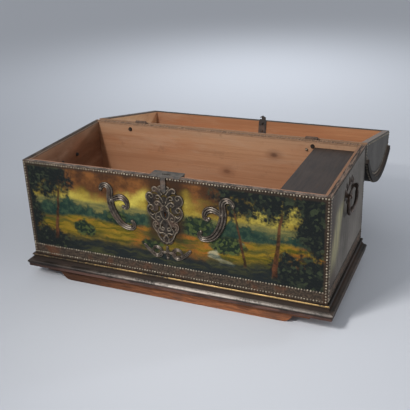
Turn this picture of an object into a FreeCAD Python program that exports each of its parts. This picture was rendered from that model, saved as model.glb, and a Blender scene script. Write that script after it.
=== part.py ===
import FreeCAD, Part
import math
import os

import Sketcher
from FreeCAD import Placement, Rotation, Vector

# A domed coffer: a dovetailed pine chest covered in leather, on a moulded plinth with two runners.
# +X is the chest's right end, the front faces -Y, +Z is up, and the origin is on the floor under
# the middle of the chest. The lid is modelled shut and turned open about its hinge pins.

# Driving dimensions: millimetres, degrees for the angle, plain shares for names ending in share.
SIZES = {
    "overrun": 2.0,
    # pine carcass
    "body_length": 1146.0,
    "body_depth": 522.0,
    "wall_height": 428.0,
    "board": 22.0,
    "bottom_thickness": 18.0,
    "pin_tip_share": 0.26,
    "pin_root_share": 0.42,
    # leather covering, turned over the rim
    "leather": 2.0,
    "turnover": 14.0,
    # runners and bearer under the chest
    "runner_height": 42.0,
    "runner_width": 60.0,
    "runner_reveal": 11.0,
    "runner_sole": 836.0,
    "runner_sweep": 42.0,
    "runner_tongue": 13.0,
    "runner_tongue_length": 1040.0,
    "bearer_width": 60.0,
    # plinth moulding, from the bottom up: fascia, torus, cove, gilt bead
    "fascia_height": 12.0,
    "fascia_out": 24.0,
    "torus_radius": 6.0,
    "torus_seat": 22.0,
    "cove_height": 16.0,
    "cove_in_share": 0.74,
    "cove_up_share": 0.31,
    "bead_radius": 4.0,
    "bead_seat": 8.0,
    # coopered lid
    "lid_gap": 0.6,
    "lid_straight": 78.0,
    "lid_rise": 104.0,
    "lid_board": 22.0,
    "stave": 20.0,
    "stave_overhang": 12.0,
    "lid_open_angle": 192.0,
    # hinges on the back
    "hinge_place_share": 0.64,
    "hinge_width": 46.0,
    "hinge_leaf": 3.0,
    "pin_offset": 11.6,
    "pin_radius": 3.5,
    "pin_end": 3.0,
    "knuckle_radius": 7.0,
    "knuckle_gap": 0.4,
    "running_clearance": 0.06,
    "pin_seat_clearance": 0.02,
    "web_foot": 22.0,
    "web_top": 10.0,
    "chest_leaf": 130.0,
    "chest_leaf_tip": 26.0,
    "lid_leaf": 74.0,
    "lid_leaf_tip": 34.0,
    "leaf_edge": 2.0,
    # till at the right-hand end
    "till_width": 155.0,
    "till_depth": 110.0,
    "till_board": 10.0,
    "till_lid_board": 11.0,
    "till_drop": 22.0,
    "till_groove": 5.0,
    "till_lip": 6.0,
    "till_seat_gap": 0.3,
    "till_end_gap": 1.0,
    "till_wall_gap": 0.8,
    "till_pivot_radius": 4.0,
    "till_pivot": 8.0,
    "till_pivot_clearance": 0.1,
    # chest lock
    "rim_plate": 3.0,
    "rim_plate_length": 116.0,
    "rim_tab": 18.0,
    "rim_tab_drop": 52.0,
    "lock_case_length": 110.0,
    "lock_case_depth": 30.0,
    "lock_case_height": 168.0,
    "lock_case_wall": 2.5,
    "lock_plate_width": 146.0,
    "lock_plate_height": 224.0,
    "lock_plate_foot": 130.0,
    "iron_plate": 2.5,
    "keyhole_height": 249.0,
    "keyhole_radius": 5.0,
    "keyhole_slot": 14.0,
    "keyhole_slot_width": 5.0,
    "key_pin_radius": 2.0,
    "hasp_width": 36.0,
    "hasp_height": 66.0,
    "hasp_thickness": 4.0,
    "tongue_width": 28.0,
    "tongue_length": 22.0,
    "tongue_gable": 8.0,
    "tongue_notch_top": 5.0,
    "tongue_notch": 7.0,
    "tongue_notch_depth": 9.0,
    "tongue_slot_gap": 2.5,
    "bolt_length": 36.0,
    "bolt_thickness": 6.0,
    "bolt_height": 5.6,
    "bolt_tail_width": 9.0,
    "bolt_tail": 96.0,
    "bolt_stand_off": 2.5,
    "bolt_clearance": 0.3,
    "bolt_guide": 8.0,
    "bolt_guide_place": 30.0,
    "bolt_guide_cheek": 5.0,
    "lock_spring": 1.2,
    # iron scroll mounts on the front
    "scroll_bar": 26.0,
    "scroll_bud": 8.0,
    "scroll_height": 155.0,
    "scroll_place": 205.0,
    "scroll_level": 210.0,
    "low_scroll_bar": 12.0,
    "low_scroll_bud": 7.0,
    "low_scroll_boss": 19.0,
    "low_scroll_height": 60.0,
    "low_scroll_level": 72.0,
    # drop handles on the ends
    "handle_drop": 78.0,
    "eye_spacing": 104.0,
    "eye_out": 12.0,
    "eye_radius": 8.5,
    "eye_stem_share": 0.6,
    "eye_length": 9.0,
    "bail_radius": 4.5,
    "bail_clearance": 0.1,
    "bail_stub": 8.0,
    "bail_shoulder": 9.0,
    "bail_drop": 70.0,
    "bail_bend": 34.0,
    "grip_radius": 7.5,
    "grip_length": 46.0,
    "handle_plate_bar": 10.0,
    "handle_plate_disc": 16.0,
    "handle_plate_boss": 11.0,
    "handle_plate_arch": 76.0,
}

# Counts
PIN_COUNT = 6
STAVE_COUNT = 7

doc = FreeCAD.newDocument("coffer")
sheet = doc.addObject("Spreadsheet::Sheet", "sizes")
for row, (alias, number) in enumerate(SIZES.items(), start=1):
    sheet.set(f"A{row}", alias)
    sheet.set(f"B{row}", str(number))
    sheet.setAlias(f"B{row}", alias)
doc.recompute()


class Size:
    """A number worked out from the sheet: its value, and the expression that keeps it current."""

    def __init__(self, value, text):
        self.value = value
        self.text = text

    def join(self, other, sign, value):
        return Size(value, f"({self.text} {sign} {other.text})")

    def __add__(self, other):
        other = as_size(other)
        return self.join(other, "+", self.value + other.value)

    def __sub__(self, other):
        other = as_size(other)
        return self.join(other, "-", self.value - other.value)

    def __mul__(self, other):
        other = as_size(other)
        return self.join(other, "*", self.value * other.value)

    def __truediv__(self, other):
        other = as_size(other)
        return self.join(other, "/", self.value / other.value)

    def __rmul__(self, other):
        return as_size(other) * self

    def __neg__(self):
        return Size(-self.value, f"(-{self.text})")


def as_size(number):
    return number if isinstance(number, Size) else Size(number, repr(number))


def root(area):
    return Size(math.sqrt(area.value), f"sqrt({area.text})")


def arc_sine(ratio):
    return Size(math.degrees(math.asin(ratio.value)), f"asin({ratio.text})")


def sine(angle):
    return Size(math.sin(math.radians(angle.value)), f"sin({angle.text})")


def cosine(angle):
    return Size(math.cos(math.radians(angle.value)), f"cos({angle.text})")


class Sheet:
    """The sheet's cells by name, each as a Size."""

    def __getattr__(self, alias):
        return Size(float(sheet.get(alias)), f"sizes.{alias}")


size = Sheet()
zero = Size(0.0, "0")


class Via(tuple):
    """A point in an outline that the arc between its two neighbours passes through."""


pieces = {}


def keep(thing, label):
    thing.Label = label
    pieces[label] = thing
    return thing


def bind(thing, prop, length):
    thing.setExpression(prop, length.text)


def move(thing, **places):
    for axis, place in places.items():
        bind(thing, f"Placement.Base.{axis}", place)
    return thing


def block(name, x, y, z):
    """A squared piece between a low and a high plane on each axis."""
    piece = doc.addObject("Part::Box", name)
    for prop, axis, (low, high) in (("Length", "x", x), ("Width", "y", y), ("Height", "z", z)):
        bind(piece, prop, high - low)
        bind(piece, f"Placement.Base.{axis}", low)
    return piece


def rod(name, radius, length, axis):
    """A round bar from the origin along +X or +Y."""
    piece = doc.addObject("Part::Cylinder", name)
    bind(piece, "Radius", radius)
    bind(piece, "Height", length)
    turn = Rotation(Vector(0, 1, 0), 90) if axis == "x" else Rotation(Vector(1, 0, 0), -90)
    piece.Placement = Placement(Vector(), turn)
    return piece


def cross_rod(name, radius, x, y, z):
    """A round bar along Y between two planes."""
    low, high = y
    return move(rod(name, radius, high - low, "y"), x=x, y=low, z=z)


def fuse(name, things):
    piece = doc.addObject("Part::MultiFuse", name)
    piece.Shapes = things
    return piece


def cut(name, base, tool):
    piece = doc.addObject("Part::Cut", name)
    piece.Base = base
    piece.Tool = tool
    return piece


def body(name):
    return doc.addObject("PartDesign::Body", name)


def spot(point):
    u, v = point
    return Vector(as_size(u).value, as_size(v).value, 0)


def pin_point(drawing, geometry, position, point):
    """Holds one point of a sketch at its distances from the sketch's origin."""
    for kind, distance in zip(("DistanceX", "DistanceY"), point):
        distance = as_size(distance)
        held = Sketcher.Constraint(kind, -1, 1, geometry, position, distance.value)
        number = drawing.addConstraint(held)
        drawing.setExpression(f"Constraints[{number}]", distance.text)


def draw_edge(drawing, start, via, end):
    """A line, or an arc through via: its number, and the numbers of its first and last points."""
    if via is None:
        return drawing.addGeometry(Part.LineSegment(spot(start), spot(end)), False), 1, 2
    edge = drawing.addGeometry(Part.Arc(spot(start), spot(via), spot(end)), False)
    mark = drawing.addGeometry(Part.Point(spot(via)), True)
    pin_point(drawing, mark, 1, via)
    drawing.addConstraint(Sketcher.Constraint("PointOnObject", mark, 1, edge))
    first = drawing.getPoint(edge, 1)
    forward = first.distanceToPoint(spot(start)) < first.distanceToPoint(spot(end))
    return (edge, 1, 2) if forward else (edge, 2, 1)


def draw_loop(drawing, loop):
    """A closed run of corners, with an arc wherever a Via stands between two of them."""
    runs = []
    for place, start in enumerate(loop):
        if isinstance(start, Via):
            continue
        after = loop[(place + 1) % len(loop)]
        via = after if isinstance(after, Via) else None
        end = loop[(place + 2) % len(loop)] if via else after
        runs.append((start, via, end))
    drawn = [draw_edge(drawing, *run) for run in runs]
    for (edge, first, last), (following, head, tail), run in zip(drawn, drawn[1:] + drawn[:1], runs):
        pin_point(drawing, edge, first, run[0])
        drawing.addConstraint(Sketcher.Constraint("Coincident", edge, last, following, head))


def sketch(owner, plane, offset=None):
    drawing = owner.newObject("Sketcher::SketchObject", f"{owner.Name}_sketch")
    support = next(p for p in owner.Origin.OriginFeatures if p.Role == f"{plane}_Plane")
    drawing.AttachmentSupport = [(support, "")]
    drawing.MapMode = "FlatFace"
    if offset is not None:
        bind(drawing, "AttachmentOffset.Base.z", offset)
    return drawing


def outline(owner, plane, loops, offset=None):
    drawing = sketch(owner, plane, offset)
    for loop in loops:
        draw_loop(drawing, loop)
    return drawing


def ring(owner, plane, centre, radius, offset=None):
    drawing = sketch(owner, plane, offset)
    edge = drawing.addGeometry(Part.Circle(spot(centre), Vector(0, 0, 1), radius.value), False)
    pin_point(drawing, edge, 3, centre)
    number = drawing.addConstraint(Sketcher.Constraint("Radius", edge, radius.value))
    drawing.setExpression(f"Constraints[{number}]", radius.text)
    return drawing


def feature(owner, kind, drawing, length, side):
    made = owner.newObject(f"PartDesign::{kind}", f"{owner.Name}_{kind.lower()}")
    made.Profile = drawing
    made.SideType = side
    bind(made, "Length", length)
    return made


def pad(owner, drawing, length, side="Symmetric"):
    return feature(owner, "Pad", drawing, length, side)


def pocket(owner, drawing, length):
    return feature(owner, "Pocket", drawing, length, "Symmetric")


def rectangle(low, high):
    return [(low[0], low[1]), (high[0], low[1]), (high[0], high[1]), (low[0], high[1])]


# Levels and faces that many pieces share
half_length = size.body_length / 2
half_depth = size.body_depth / 2
inner_x = half_length - size.board
inner_y = half_depth - size.board
face_x = half_length + size.leather
face_y = half_depth + size.leather
underside = size.runner_height
rim_wood = underside + size.wall_height
rim = rim_wood + size.leather
bead_foot = size.fascia_height + 2 * size.torus_radius + size.cove_height
moulding_height = bead_foot + 2 * size.bead_radius
moulding_top = underside + moulding_height
lid_foot = rim + size.lid_gap
lid_wood = lid_foot + size.leather
hinge_y = face_y + size.pin_offset
hinge_z = rim + size.lid_gap / 2


# Pine carcass: front and back boards are dovetailed over pins on the ends of the end boards
def pin_loops(side):
    """The dovetail pins of one end, wide at the root and narrow at the outer face."""
    pitch = size.wall_height / PIN_COUNT
    loops = []
    for number in range(PIN_COUNT):
        middle = pitch * (2 * number + 1) / 2
        tip = pitch * size.pin_tip_share / 2
        base = pitch * size.pin_root_share / 2
        loops.append([
            (inner_x * side, middle - base),
            (half_length * side, middle - tip),
            (half_length * side, middle + tip),
            (inner_x * side, middle + base),
        ])
    return loops


def long_board(name, side):
    made = body(name)
    corners = rectangle((-half_length, inner_y * side), (half_length, half_depth * side))
    pad(made, outline(made, "XY", [corners]), size.wall_height, "One side")
    sockets = outline(made, "XZ", pin_loops(1) + pin_loops(-1))
    pocket(made, sockets, size.body_depth + 2 * size.overrun)
    return move(made, z=underside)


def end_board(name, side):
    made = body(name)
    corners = rectangle((inner_x * side, -inner_y), (half_length * side, inner_y))
    pad(made, outline(made, "XY", [corners]), size.wall_height, "One side")
    pad(made, outline(made, "XZ", pin_loops(side)), size.body_depth)
    return keep(move(made, z=underside), name)


end_board("left_end_board", -1)
end_board("right_end_board", 1)

bottom_top = underside + size.bottom_thickness
plank_x = (-inner_x, inner_x)
plank_z = (underside, bottom_top)
keep(block("bottom_plank_front", plank_x, (-inner_y, zero), plank_z), "bottom_plank_front")
keep(block("bottom_plank_rear", plank_x, (zero, inner_y), plank_z), "bottom_plank_rear")


# Till: a lidded box across the right-hand end, housed in grooves in the front and back boards
till_lid_top = rim - size.till_drop
till_lid_foot = till_lid_top - size.till_lid_board
till_side_x = (inner_x - size.till_width, inner_x - size.till_width + size.till_board)
till_side_top = till_lid_foot - size.till_seat_gap
till_floor_z = (till_side_top - size.till_depth - size.till_board, till_side_top - size.till_depth)
till_side_z = (till_floor_z[0], till_side_top)
till_floor_x = (till_side_x[1], inner_x)
till_y = (-inner_y - size.till_groove, inner_y + size.till_groove)
till_axis_x = inner_x - size.till_lid_board / 2 - size.till_wall_gap
till_axis_z = till_lid_foot + size.till_lid_board / 2
keep(block("till_side", till_side_x, till_y, till_side_z), "till_side")
keep(block("till_floor", till_floor_x, till_y, till_floor_z), "till_floor")

till_lid = body("till_lid")
till_lid_section = [
    (till_side_x[0] - size.till_lip, till_lid_foot),
    (till_axis_x, till_lid_foot),
    Via((till_axis_x + size.till_lid_board / 2, till_axis_z)),
    (till_axis_x, till_lid_top),
    (till_side_x[0] - size.till_lip, till_lid_top),
]
pad(till_lid, outline(till_lid, "XZ", [till_lid_section]), 2 * (inner_y - size.till_end_gap))
till_pivots = ring(till_lid, "XZ", (till_axis_x, till_axis_z), size.till_pivot_radius)
pad(till_lid, till_pivots, 2 * (inner_y + size.till_pivot))
keep(till_lid, "till_lid")


def till_housing(side):
    """What the till needs cut in the front or back board: two grooves and a pivot socket."""
    name = "front" if side < 0 else "back"
    inner = (inner_y - size.overrun) * side
    groove = (inner_y + size.till_groove) * side
    socket = (inner_y + size.till_pivot + size.till_pivot_clearance) * side
    across = (groove, inner) if side < 0 else (inner, groove)
    socket_y = (socket, inner) if side < 0 else (inner, socket)
    radius = size.till_pivot_radius + size.till_pivot_clearance
    return [
        block(f"{name}_till_side_groove", till_side_x, across, till_side_z),
        block(f"{name}_till_floor_groove", till_floor_x, across, till_floor_z),
        cross_rod(f"{name}_till_socket", radius, till_axis_x, socket_y, till_axis_z),
    ]


# Chest lock: rim plate let into the front rim, iron case behind it, bolt, spring and key pin
case_half = size.lock_case_length / 2
plate_half = size.rim_plate_length / 2
plate_foot = rim - size.rim_plate
case_back = -inner_y + size.lock_case_depth
case_foot = rim_wood - size.lock_case_height
tongue_half = size.tongue_width / 2
tongue_y = (-inner_y, -inner_y + size.hasp_thickness)
slot_x = (-tongue_half - size.tongue_slot_gap, tongue_half + size.tongue_slot_gap)
slot_y = (tongue_y[0] - size.tongue_slot_gap, tongue_y[1] + size.tongue_slot_gap)
slot_foot = lid_foot - size.tongue_length - size.tongue_slot_gap
key_z = moulding_top + size.keyhole_height


def keyhole(name, y):
    slot_half = size.keyhole_slot_width / 2
    eye = cross_rod(f"{name}_eye", size.keyhole_radius, zero, y, key_z)
    leg = block(f"{name}_leg", (-slot_half, slot_half), y, (key_z - size.keyhole_slot, key_z))
    return fuse(name, [eye, leg])


through_front = (-half_depth - size.overrun, -inner_y + size.overrun)
front_tools = till_housing(-1) + [
    keyhole("board_keyhole", through_front),
    block("rim_plate_recess", (-plate_half, plate_half), through_front, (plate_foot, rim)),
    block("tongue_mortise", slot_x, (slot_y[0], -inner_y + size.overrun), (slot_foot, rim)),
]
front_blank = long_board("front_board_blank", -1)
keep(cut("front_board", front_blank, fuse("front_board_cuts", front_tools)), "front_board")
back_blank = long_board("back_board_blank", 1)
keep(cut("back_board", back_blank, fuse("back_board_cuts", till_housing(1))), "back_board")

rim_plate_blank = fuse("rim_plate_blank", [
    block("rim_plate_top", (-plate_half, plate_half), (-face_y, case_back), (plate_foot, rim)),
    block("rim_plate_tab", (-size.rim_tab / 2, size.rim_tab / 2),
          (-face_y - 2 * size.iron_plate, -face_y - size.iron_plate), (rim - size.rim_tab_drop, rim)),
    block("rim_plate_bend", (-size.rim_tab / 2, size.rim_tab / 2),
          (-face_y - size.iron_plate, -face_y), (plate_foot, rim)),
])
rim_plate_slot = block("rim_plate_slot", slot_x, slot_y, (plate_foot - size.overrun, rim + size.overrun))
keep(cut("lock_rim_plate", rim_plate_blank, rim_plate_slot), "lock_rim_plate")

bolt_z = (lid_foot - size.tongue_notch_top - size.tongue_notch / 2 - size.bolt_height / 2,
          lid_foot - size.tongue_notch_top - size.tongue_notch / 2 + size.bolt_height / 2)
bolt_y = (-inner_y + size.bolt_clearance, -inner_y + size.bolt_clearance + size.bolt_thickness)
bolt_x = (-tongue_half - size.bolt_stand_off - size.bolt_length, -tongue_half - size.bolt_stand_off)
tail_x = (bolt_x[0], bolt_x[0] + size.bolt_tail_width)
keep(fuse("lock_bolt", [
    block("bolt_bar", bolt_x, bolt_y, bolt_z),
    block("bolt_tail", tail_x, bolt_y, (bolt_z[0] - size.bolt_tail, bolt_z[1])),
]), "lock_bolt")

case_room_x = (-case_half + size.lock_case_wall, case_half - size.lock_case_wall)
case_room_y = (-inner_y - size.overrun, case_back - size.lock_case_wall)
case_shell = cut(
    "lock_case_shell",
    block("lock_case_block", (-case_half, case_half), (-inner_y, case_back), (case_foot, plate_foot)),
    block("lock_case_room", case_room_x, case_room_y, (case_foot + size.lock_case_wall, rim)),
)
guide_x = (-size.bolt_guide_place, -size.bolt_guide_place + size.bolt_guide)
bolt_guide = cut(
    "bolt_guide_bridge",
    block("bolt_guide_block", guide_x, (-inner_y, case_back - size.lock_case_wall),
          (bolt_z[0] - size.bolt_guide_cheek, plate_foot)),
    block("bolt_guide_way", (guide_x[0] - size.overrun, guide_x[1] + size.overrun),
          (-inner_y - size.overrun, bolt_y[1] + size.bolt_clearance),
          (bolt_z[0] - size.bolt_clearance, bolt_z[1] + size.bolt_clearance)),
)
keep(fuse("lock_case", [case_shell, bolt_guide]), "lock_case")

spring_z = (bolt_z[1] + size.bolt_clearance, bolt_z[1] + size.bolt_clearance + size.lock_spring)
spring_x = (case_room_x[0], guide_x[0])
keep(block("lock_spring", spring_x, bolt_y, spring_z), "lock_spring")
key_pin_y = (-half_depth, case_back - size.lock_case_wall)
keep(cross_rod("lock_key_pin", size.key_pin_radius, zero, key_pin_y, key_z), "lock_key_pin")


# Leather covering: a face and a strip turned over the rim on each side of the chest
face_z = (moulding_top, rim)
strip_z = (rim_wood, rim)
turned_x = face_x - size.turnover
turned_y = face_y - size.turnover


def span(side, near, far):
    """The interval from near to far of the centre, on the given side of it."""
    return (near, far) if side > 0 else (-far, -near)


def long_leather(name, label, side, foot):
    face = block(f"{name}_face", (-face_x, face_x), span(side, half_depth, face_y), (foot, rim))
    strip = block(f"{name}_strip", (-half_length, half_length), span(side, turned_y, half_depth), strip_z)
    return fuse(label, [face, strip])


def end_leather(name, side):
    face = block(f"{name}_face", span(side, half_length, face_x), (-half_depth, half_depth), face_z)
    strip = block(f"{name}_strip", span(side, turned_x, half_length), (-turned_y, turned_y), strip_z)
    return keep(fuse(name, [face, strip]), name)


end_leather("left_leather", -1)
end_leather("right_leather", 1)
front_leather_cuts = fuse("front_leather_cuts", [
    block("leather_rim_plate_gap", (-plate_half, plate_half),
          (-face_y - size.overrun, -inner_y), (plate_foot, rim + size.overrun)),
    keyhole("leather_keyhole", (-face_y - size.overrun, -half_depth + size.overrun)),
])
front_sheet = long_leather("front", "front_leather_sheet", -1, moulding_top)
keep(cut("front_leather", front_sheet, front_leather_cuts), "front_leather")
keep(long_leather("back", "back_leather", 1, underside), "back_leather")


# Hinges: a strap on the chest and one on the lid, with a pin through their knuckles
knuckle = (size.hinge_width - 2 * size.knuckle_gap) / 3
hinge_place = half_length * size.hinge_place_share
leaf_y = face_y + size.hinge_leaf


def strap(name, turn, root_z, tip_z, tip_width, knuckle_width):
    """A tapered leaf with a round tip, a web cranked out to the pin, and a knuckle round it."""
    made = body(name)
    half = size.hinge_width / 2
    tip = tip_width / 2
    leaf = [
        (-half, root_z),
        (-tip, tip_z - tip * turn),
        Via((zero, tip_z)),
        (tip, tip_z - tip * turn),
        (half, root_z),
    ]
    pad(made, outline(made, "XZ", [leaf], -leaf_y), size.hinge_leaf, "One side")
    pad(made, ring(made, "YZ", (hinge_y, hinge_z), size.knuckle_radius), knuckle_width)
    web = [
        (leaf_y, hinge_z + size.web_foot * turn),
        (hinge_y, hinge_z + size.knuckle_radius * turn),
        (hinge_y - size.knuckle_radius, hinge_z),
        (leaf_y, hinge_z + size.web_top * turn),
    ]
    pad(made, outline(made, "YZ", [web]), knuckle_width)
    return made


for name, side in (("left", -1), ("right", 1)):
    chest_strap = strap(f"{name}_chest_strap", -1, rim - size.leaf_edge, rim - size.chest_leaf,
                        size.chest_leaf_tip, size.hinge_width)
    gap = rectangle(
        (leaf_y, hinge_z - size.web_foot - size.overrun),
        (hinge_y + size.knuckle_radius + size.overrun, hinge_z + size.knuckle_radius + size.overrun),
    )
    pocket(chest_strap, outline(chest_strap, "YZ", [gap]), knuckle + 2 * size.knuckle_gap)
    bore = ring(chest_strap, "YZ", (hinge_y, hinge_z), size.pin_radius + size.pin_seat_clearance)
    pocket(chest_strap, bore, size.hinge_width + 2 * size.overrun)
    keep(move(chest_strap, x=hinge_place * side), f"{name}_chest_strap")

    pin_length = size.hinge_width + 2 * size.pin_end
    pin = rod(f"{name}_hinge_pin", size.pin_radius, pin_length, "x")
    move(pin, x=hinge_place * side - pin_length / 2, y=hinge_y, z=hinge_z)
    keep(pin, f"{name}_hinge_pin")


# Plinth: three lengths of one moulding, planted on the carcass, mitred at the front corners and cut
# square at the back, which has none
def plinth_moulding(name, run, reach, turn, square_left=False, square_right=False):
    """A blank, mitred or square at its ends, planed to the section; it faces -Y before it is turned."""
    made = body(name)
    blank_out = size.torus_seat + size.torus_radius + size.overrun
    left_tip = run if square_left else run + blank_out
    right_tip = run if square_right else run + blank_out
    blank = [
        (-run, -reach),
        (run, -reach),
        (right_tip, -reach - blank_out),
        (-left_tip, -reach - blank_out),
    ]
    pad(made, outline(made, "XY", [blank]), moulding_height, "One side")
    torus_top = size.fascia_height + 2 * size.torus_radius
    past = blank_out + size.overrun
    section = [
        (size.fascia_out, -size.overrun),
        (size.fascia_out, size.fascia_height),
        (size.torus_seat, size.fascia_height),
        Via((size.torus_seat + size.torus_radius, size.fascia_height + size.torus_radius)),
        (size.torus_seat, torus_top),
        Via((size.torus_seat - (size.torus_seat - size.bead_seat) * size.cove_in_share,
             torus_top + size.cove_height * size.cove_up_share)),
        (size.bead_seat, bead_foot),
        Via((size.bead_seat + size.bead_radius, bead_foot + size.bead_radius)),
        (size.bead_seat, moulding_height),
        (size.bead_seat, moulding_height + size.overrun),
        (past, moulding_height + size.overrun),
        (past, -size.overrun),
    ]
    waste = [type(point)((-reach - point[0], point[1])) for point in section]
    pocket(made, outline(made, "YZ", [waste]), 2 * (run + past))
    made.Placement.Rotation = Rotation(Vector(0, 0, 1), turn)
    return keep(move(made, z=underside), name)


plinth_moulding("plinth_front_moulding", half_length, half_depth, 0)
plinth_moulding("plinth_right_moulding", half_depth, half_length, 90, square_right=True)
plinth_moulding("plinth_left_moulding", half_depth, half_length, 270, square_left=True)


# Runners with swept-up ends under the front and back, and a bearer between them
def runner(name, outer_y):
    made = body(name)
    sole = size.runner_sole / 2
    swept = sole + size.runner_sweep
    tip = size.runner_tongue_length / 2
    tongue = size.runner_height - size.runner_tongue
    radius = (size.runner_sweep * size.runner_sweep + tongue * tongue) / (2 * tongue)
    half_turn = arc_sine(size.runner_sweep / radius) / 2
    bend = sole + radius * sine(half_turn)
    rise = radius - radius * cosine(half_turn)
    side_view = [
        (-sole, zero),
        (sole, zero),
        Via((bend, rise)),
        (swept, tongue),
        (tip, tongue),
        (tip, size.runner_height),
        (-tip, size.runner_height),
        (-tip, tongue),
        (-swept, tongue),
        Via((-bend, rise)),
    ]
    pad(made, outline(made, "XZ", [side_view]), size.runner_width)
    return keep(move(made, y=outer_y), name)


rear_runner_y = half_depth - size.runner_width / 2
front_runner_y = -rear_runner_y - size.runner_reveal
runner("front_runner", front_runner_y)
runner("rear_runner", rear_runner_y)
bearer_y = (front_runner_y + size.runner_width / 2, rear_runner_y - size.runner_width / 2)
keep(block("middle_bearer", (-size.bearer_width / 2, size.bearer_width / 2), bearer_y,
           (zero, underside)), "middle_bearer")


# Lid: rails and arched end boards carry a barrel of staves; all of it turns on the hinge pins
dome_out = (face_y * face_y + size.lid_rise * size.lid_rise) / (2 * size.lid_rise)
dome_z = lid_foot + size.lid_straight + size.lid_rise - dome_out
stave_out = dome_out - size.leather
stave_in = stave_out - size.stave
edge_angle = arc_sine(half_depth / stave_out)
stave_length = size.body_length + 2 * size.stave_overhang
rail_in = half_depth - size.lid_board


def on_dome(radius, angle):
    return (radius * sine(angle), dome_z + radius * cosine(angle))


def arch_height(y):
    """The level of the staves' underside at a distance from the middle of the lid."""
    return dome_z + root(stave_in * stave_in - y * y)


def turned_open(thing):
    """Turns a piece of the shut lid back about the hinge pins to where it rests."""
    angle = size.lid_open_angle
    degrees = Size(angle.value, f"({angle.text} * 1 deg)")
    thing.Placement.Rotation = Rotation(Vector(-1, 0, 0), angle.value)
    bind(thing, "Placement.Rotation.Angle", degrees)
    move(thing, y=hinge_y - hinge_y * cosine(degrees) - hinge_z * sine(degrees),
         z=hinge_z - hinge_z * cosine(degrees) + hinge_y * sine(degrees))
    return thing


def keep_on_lid(thing, name):
    return keep(turned_open(thing), name)


def sector(low, high, near, far):
    """A piece of the dome's wall between two radii and two angles."""
    middle = (near + far) / 2
    return [
        on_dome(low, near),
        Via(on_dome(low, middle)),
        on_dome(low, far),
        on_dome(high, far),
        Via(on_dome(high, middle)),
        on_dome(high, near),
    ]


def lid_rail(name, side):
    made = body(name)
    seat = on_dome(stave_in, edge_angle)
    shoulder = on_dome(stave_out, edge_angle)
    between = (rail_in + seat[0]) / 2
    section = [
        (half_depth * side, lid_wood),
        (rail_in * side, lid_wood),
        (rail_in * side, arch_height(rail_in)),
        Via((between * side, arch_height(between))),
        (seat[0] * side, seat[1]),
        (half_depth * side, shoulder[1]),
    ]
    pad(made, outline(made, "YZ", [section]), size.body_length)
    return keep_on_lid(made, name)


lid_rail("lid_front_rail", -1)
lid_rail("lid_back_rail", 1)

for name, low_x in (("lid_left_end", -half_length), ("lid_right_end", half_length - size.lid_board)):
    lid_end = body(name)
    arched = [
        (-rail_in, lid_foot),
        (rail_in, lid_foot),
        (rail_in, arch_height(rail_in)),
        Via((zero, dome_z + stave_in)),
        (-rail_in, arch_height(rail_in)),
    ]
    pad(lid_end, outline(lid_end, "YZ", [arched]), size.lid_board, "One side")
    keep_on_lid(move(lid_end, x=low_x), name)

for number in range(STAVE_COUNT):
    stave = body(f"lid_stave_{number + 1}")
    near = edge_angle * (2 * number / STAVE_COUNT - 1)
    far = edge_angle * (2 * (number + 1) / STAVE_COUNT - 1)
    pad(stave, outline(stave, "YZ", [sector(stave_in, stave_out, near, far)]), stave_length)
    keep_on_lid(stave, f"lid_stave_{number + 1}")

# Leather over the dome, folded over the stave ends, and on the rails and ends of the lid
dome_leather = body("lid_dome_leather")
whole_dome = sector(stave_in, dome_out, -edge_angle, edge_angle)
pad(dome_leather, outline(dome_leather, "YZ", [whole_dome]), stave_length + 2 * size.leather)
past_edge = edge_angle + arc_sine(size.overrun / stave_in)
stave_room = sector(stave_in - size.overrun, stave_out, -past_edge, past_edge)
pocket(dome_leather, outline(dome_leather, "YZ", [stave_room]), stave_length)
keep_on_lid(dome_leather, "lid_dome_leather")

for name, side in (("lid_front_leather", -1), ("lid_back_leather", 1)):
    rail_leather = body(name)
    folded = [
        (face_y * side, lid_foot),
        (turned_y * side, lid_foot),
        (turned_y * side, lid_wood),
        (half_depth * side, lid_wood),
        (half_depth * side, on_dome(stave_out, edge_angle)[1]),
        (face_y * side, on_dome(stave_out, edge_angle)[1]),
    ]
    pad(rail_leather, outline(rail_leather, "YZ", [folded]), 2 * face_x)
    keep_on_lid(rail_leather, name)

for name, low_x in (("lid_left_leather", -face_x), ("lid_right_leather", half_length)):
    end_cover = body(name)
    seat = on_dome(stave_in, edge_angle)
    shoulder = on_dome(stave_out, edge_angle)
    cover = [
        (-half_depth, lid_wood),
        (-turned_y, lid_wood),
        (-turned_y, lid_foot),
        (turned_y, lid_foot),
        (turned_y, lid_wood),
        (half_depth, lid_wood),
        (half_depth, shoulder[1]),
        seat,
        Via((zero, dome_z + stave_in)),
        (-seat[0], seat[1]),
        (-half_depth, shoulder[1]),
    ]
    pad(end_cover, outline(end_cover, "YZ", [cover]), size.leather, "One side")
    keep_on_lid(move(end_cover, x=low_x), name)

for name, side in (("left", -1), ("right", 1)):
    lid_strap = strap(f"{name}_lid_strap", 1, lid_foot + size.leaf_edge, lid_foot + size.lid_leaf,
                      size.lid_leaf_tip, knuckle)
    bore = ring(lid_strap, "YZ", (hinge_y, hinge_z), size.pin_radius + size.running_clearance)
    pocket(lid_strap, bore, size.hinge_width)
    keep_on_lid(move(lid_strap, x=hinge_place * side), f"{name}_lid_strap")

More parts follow.
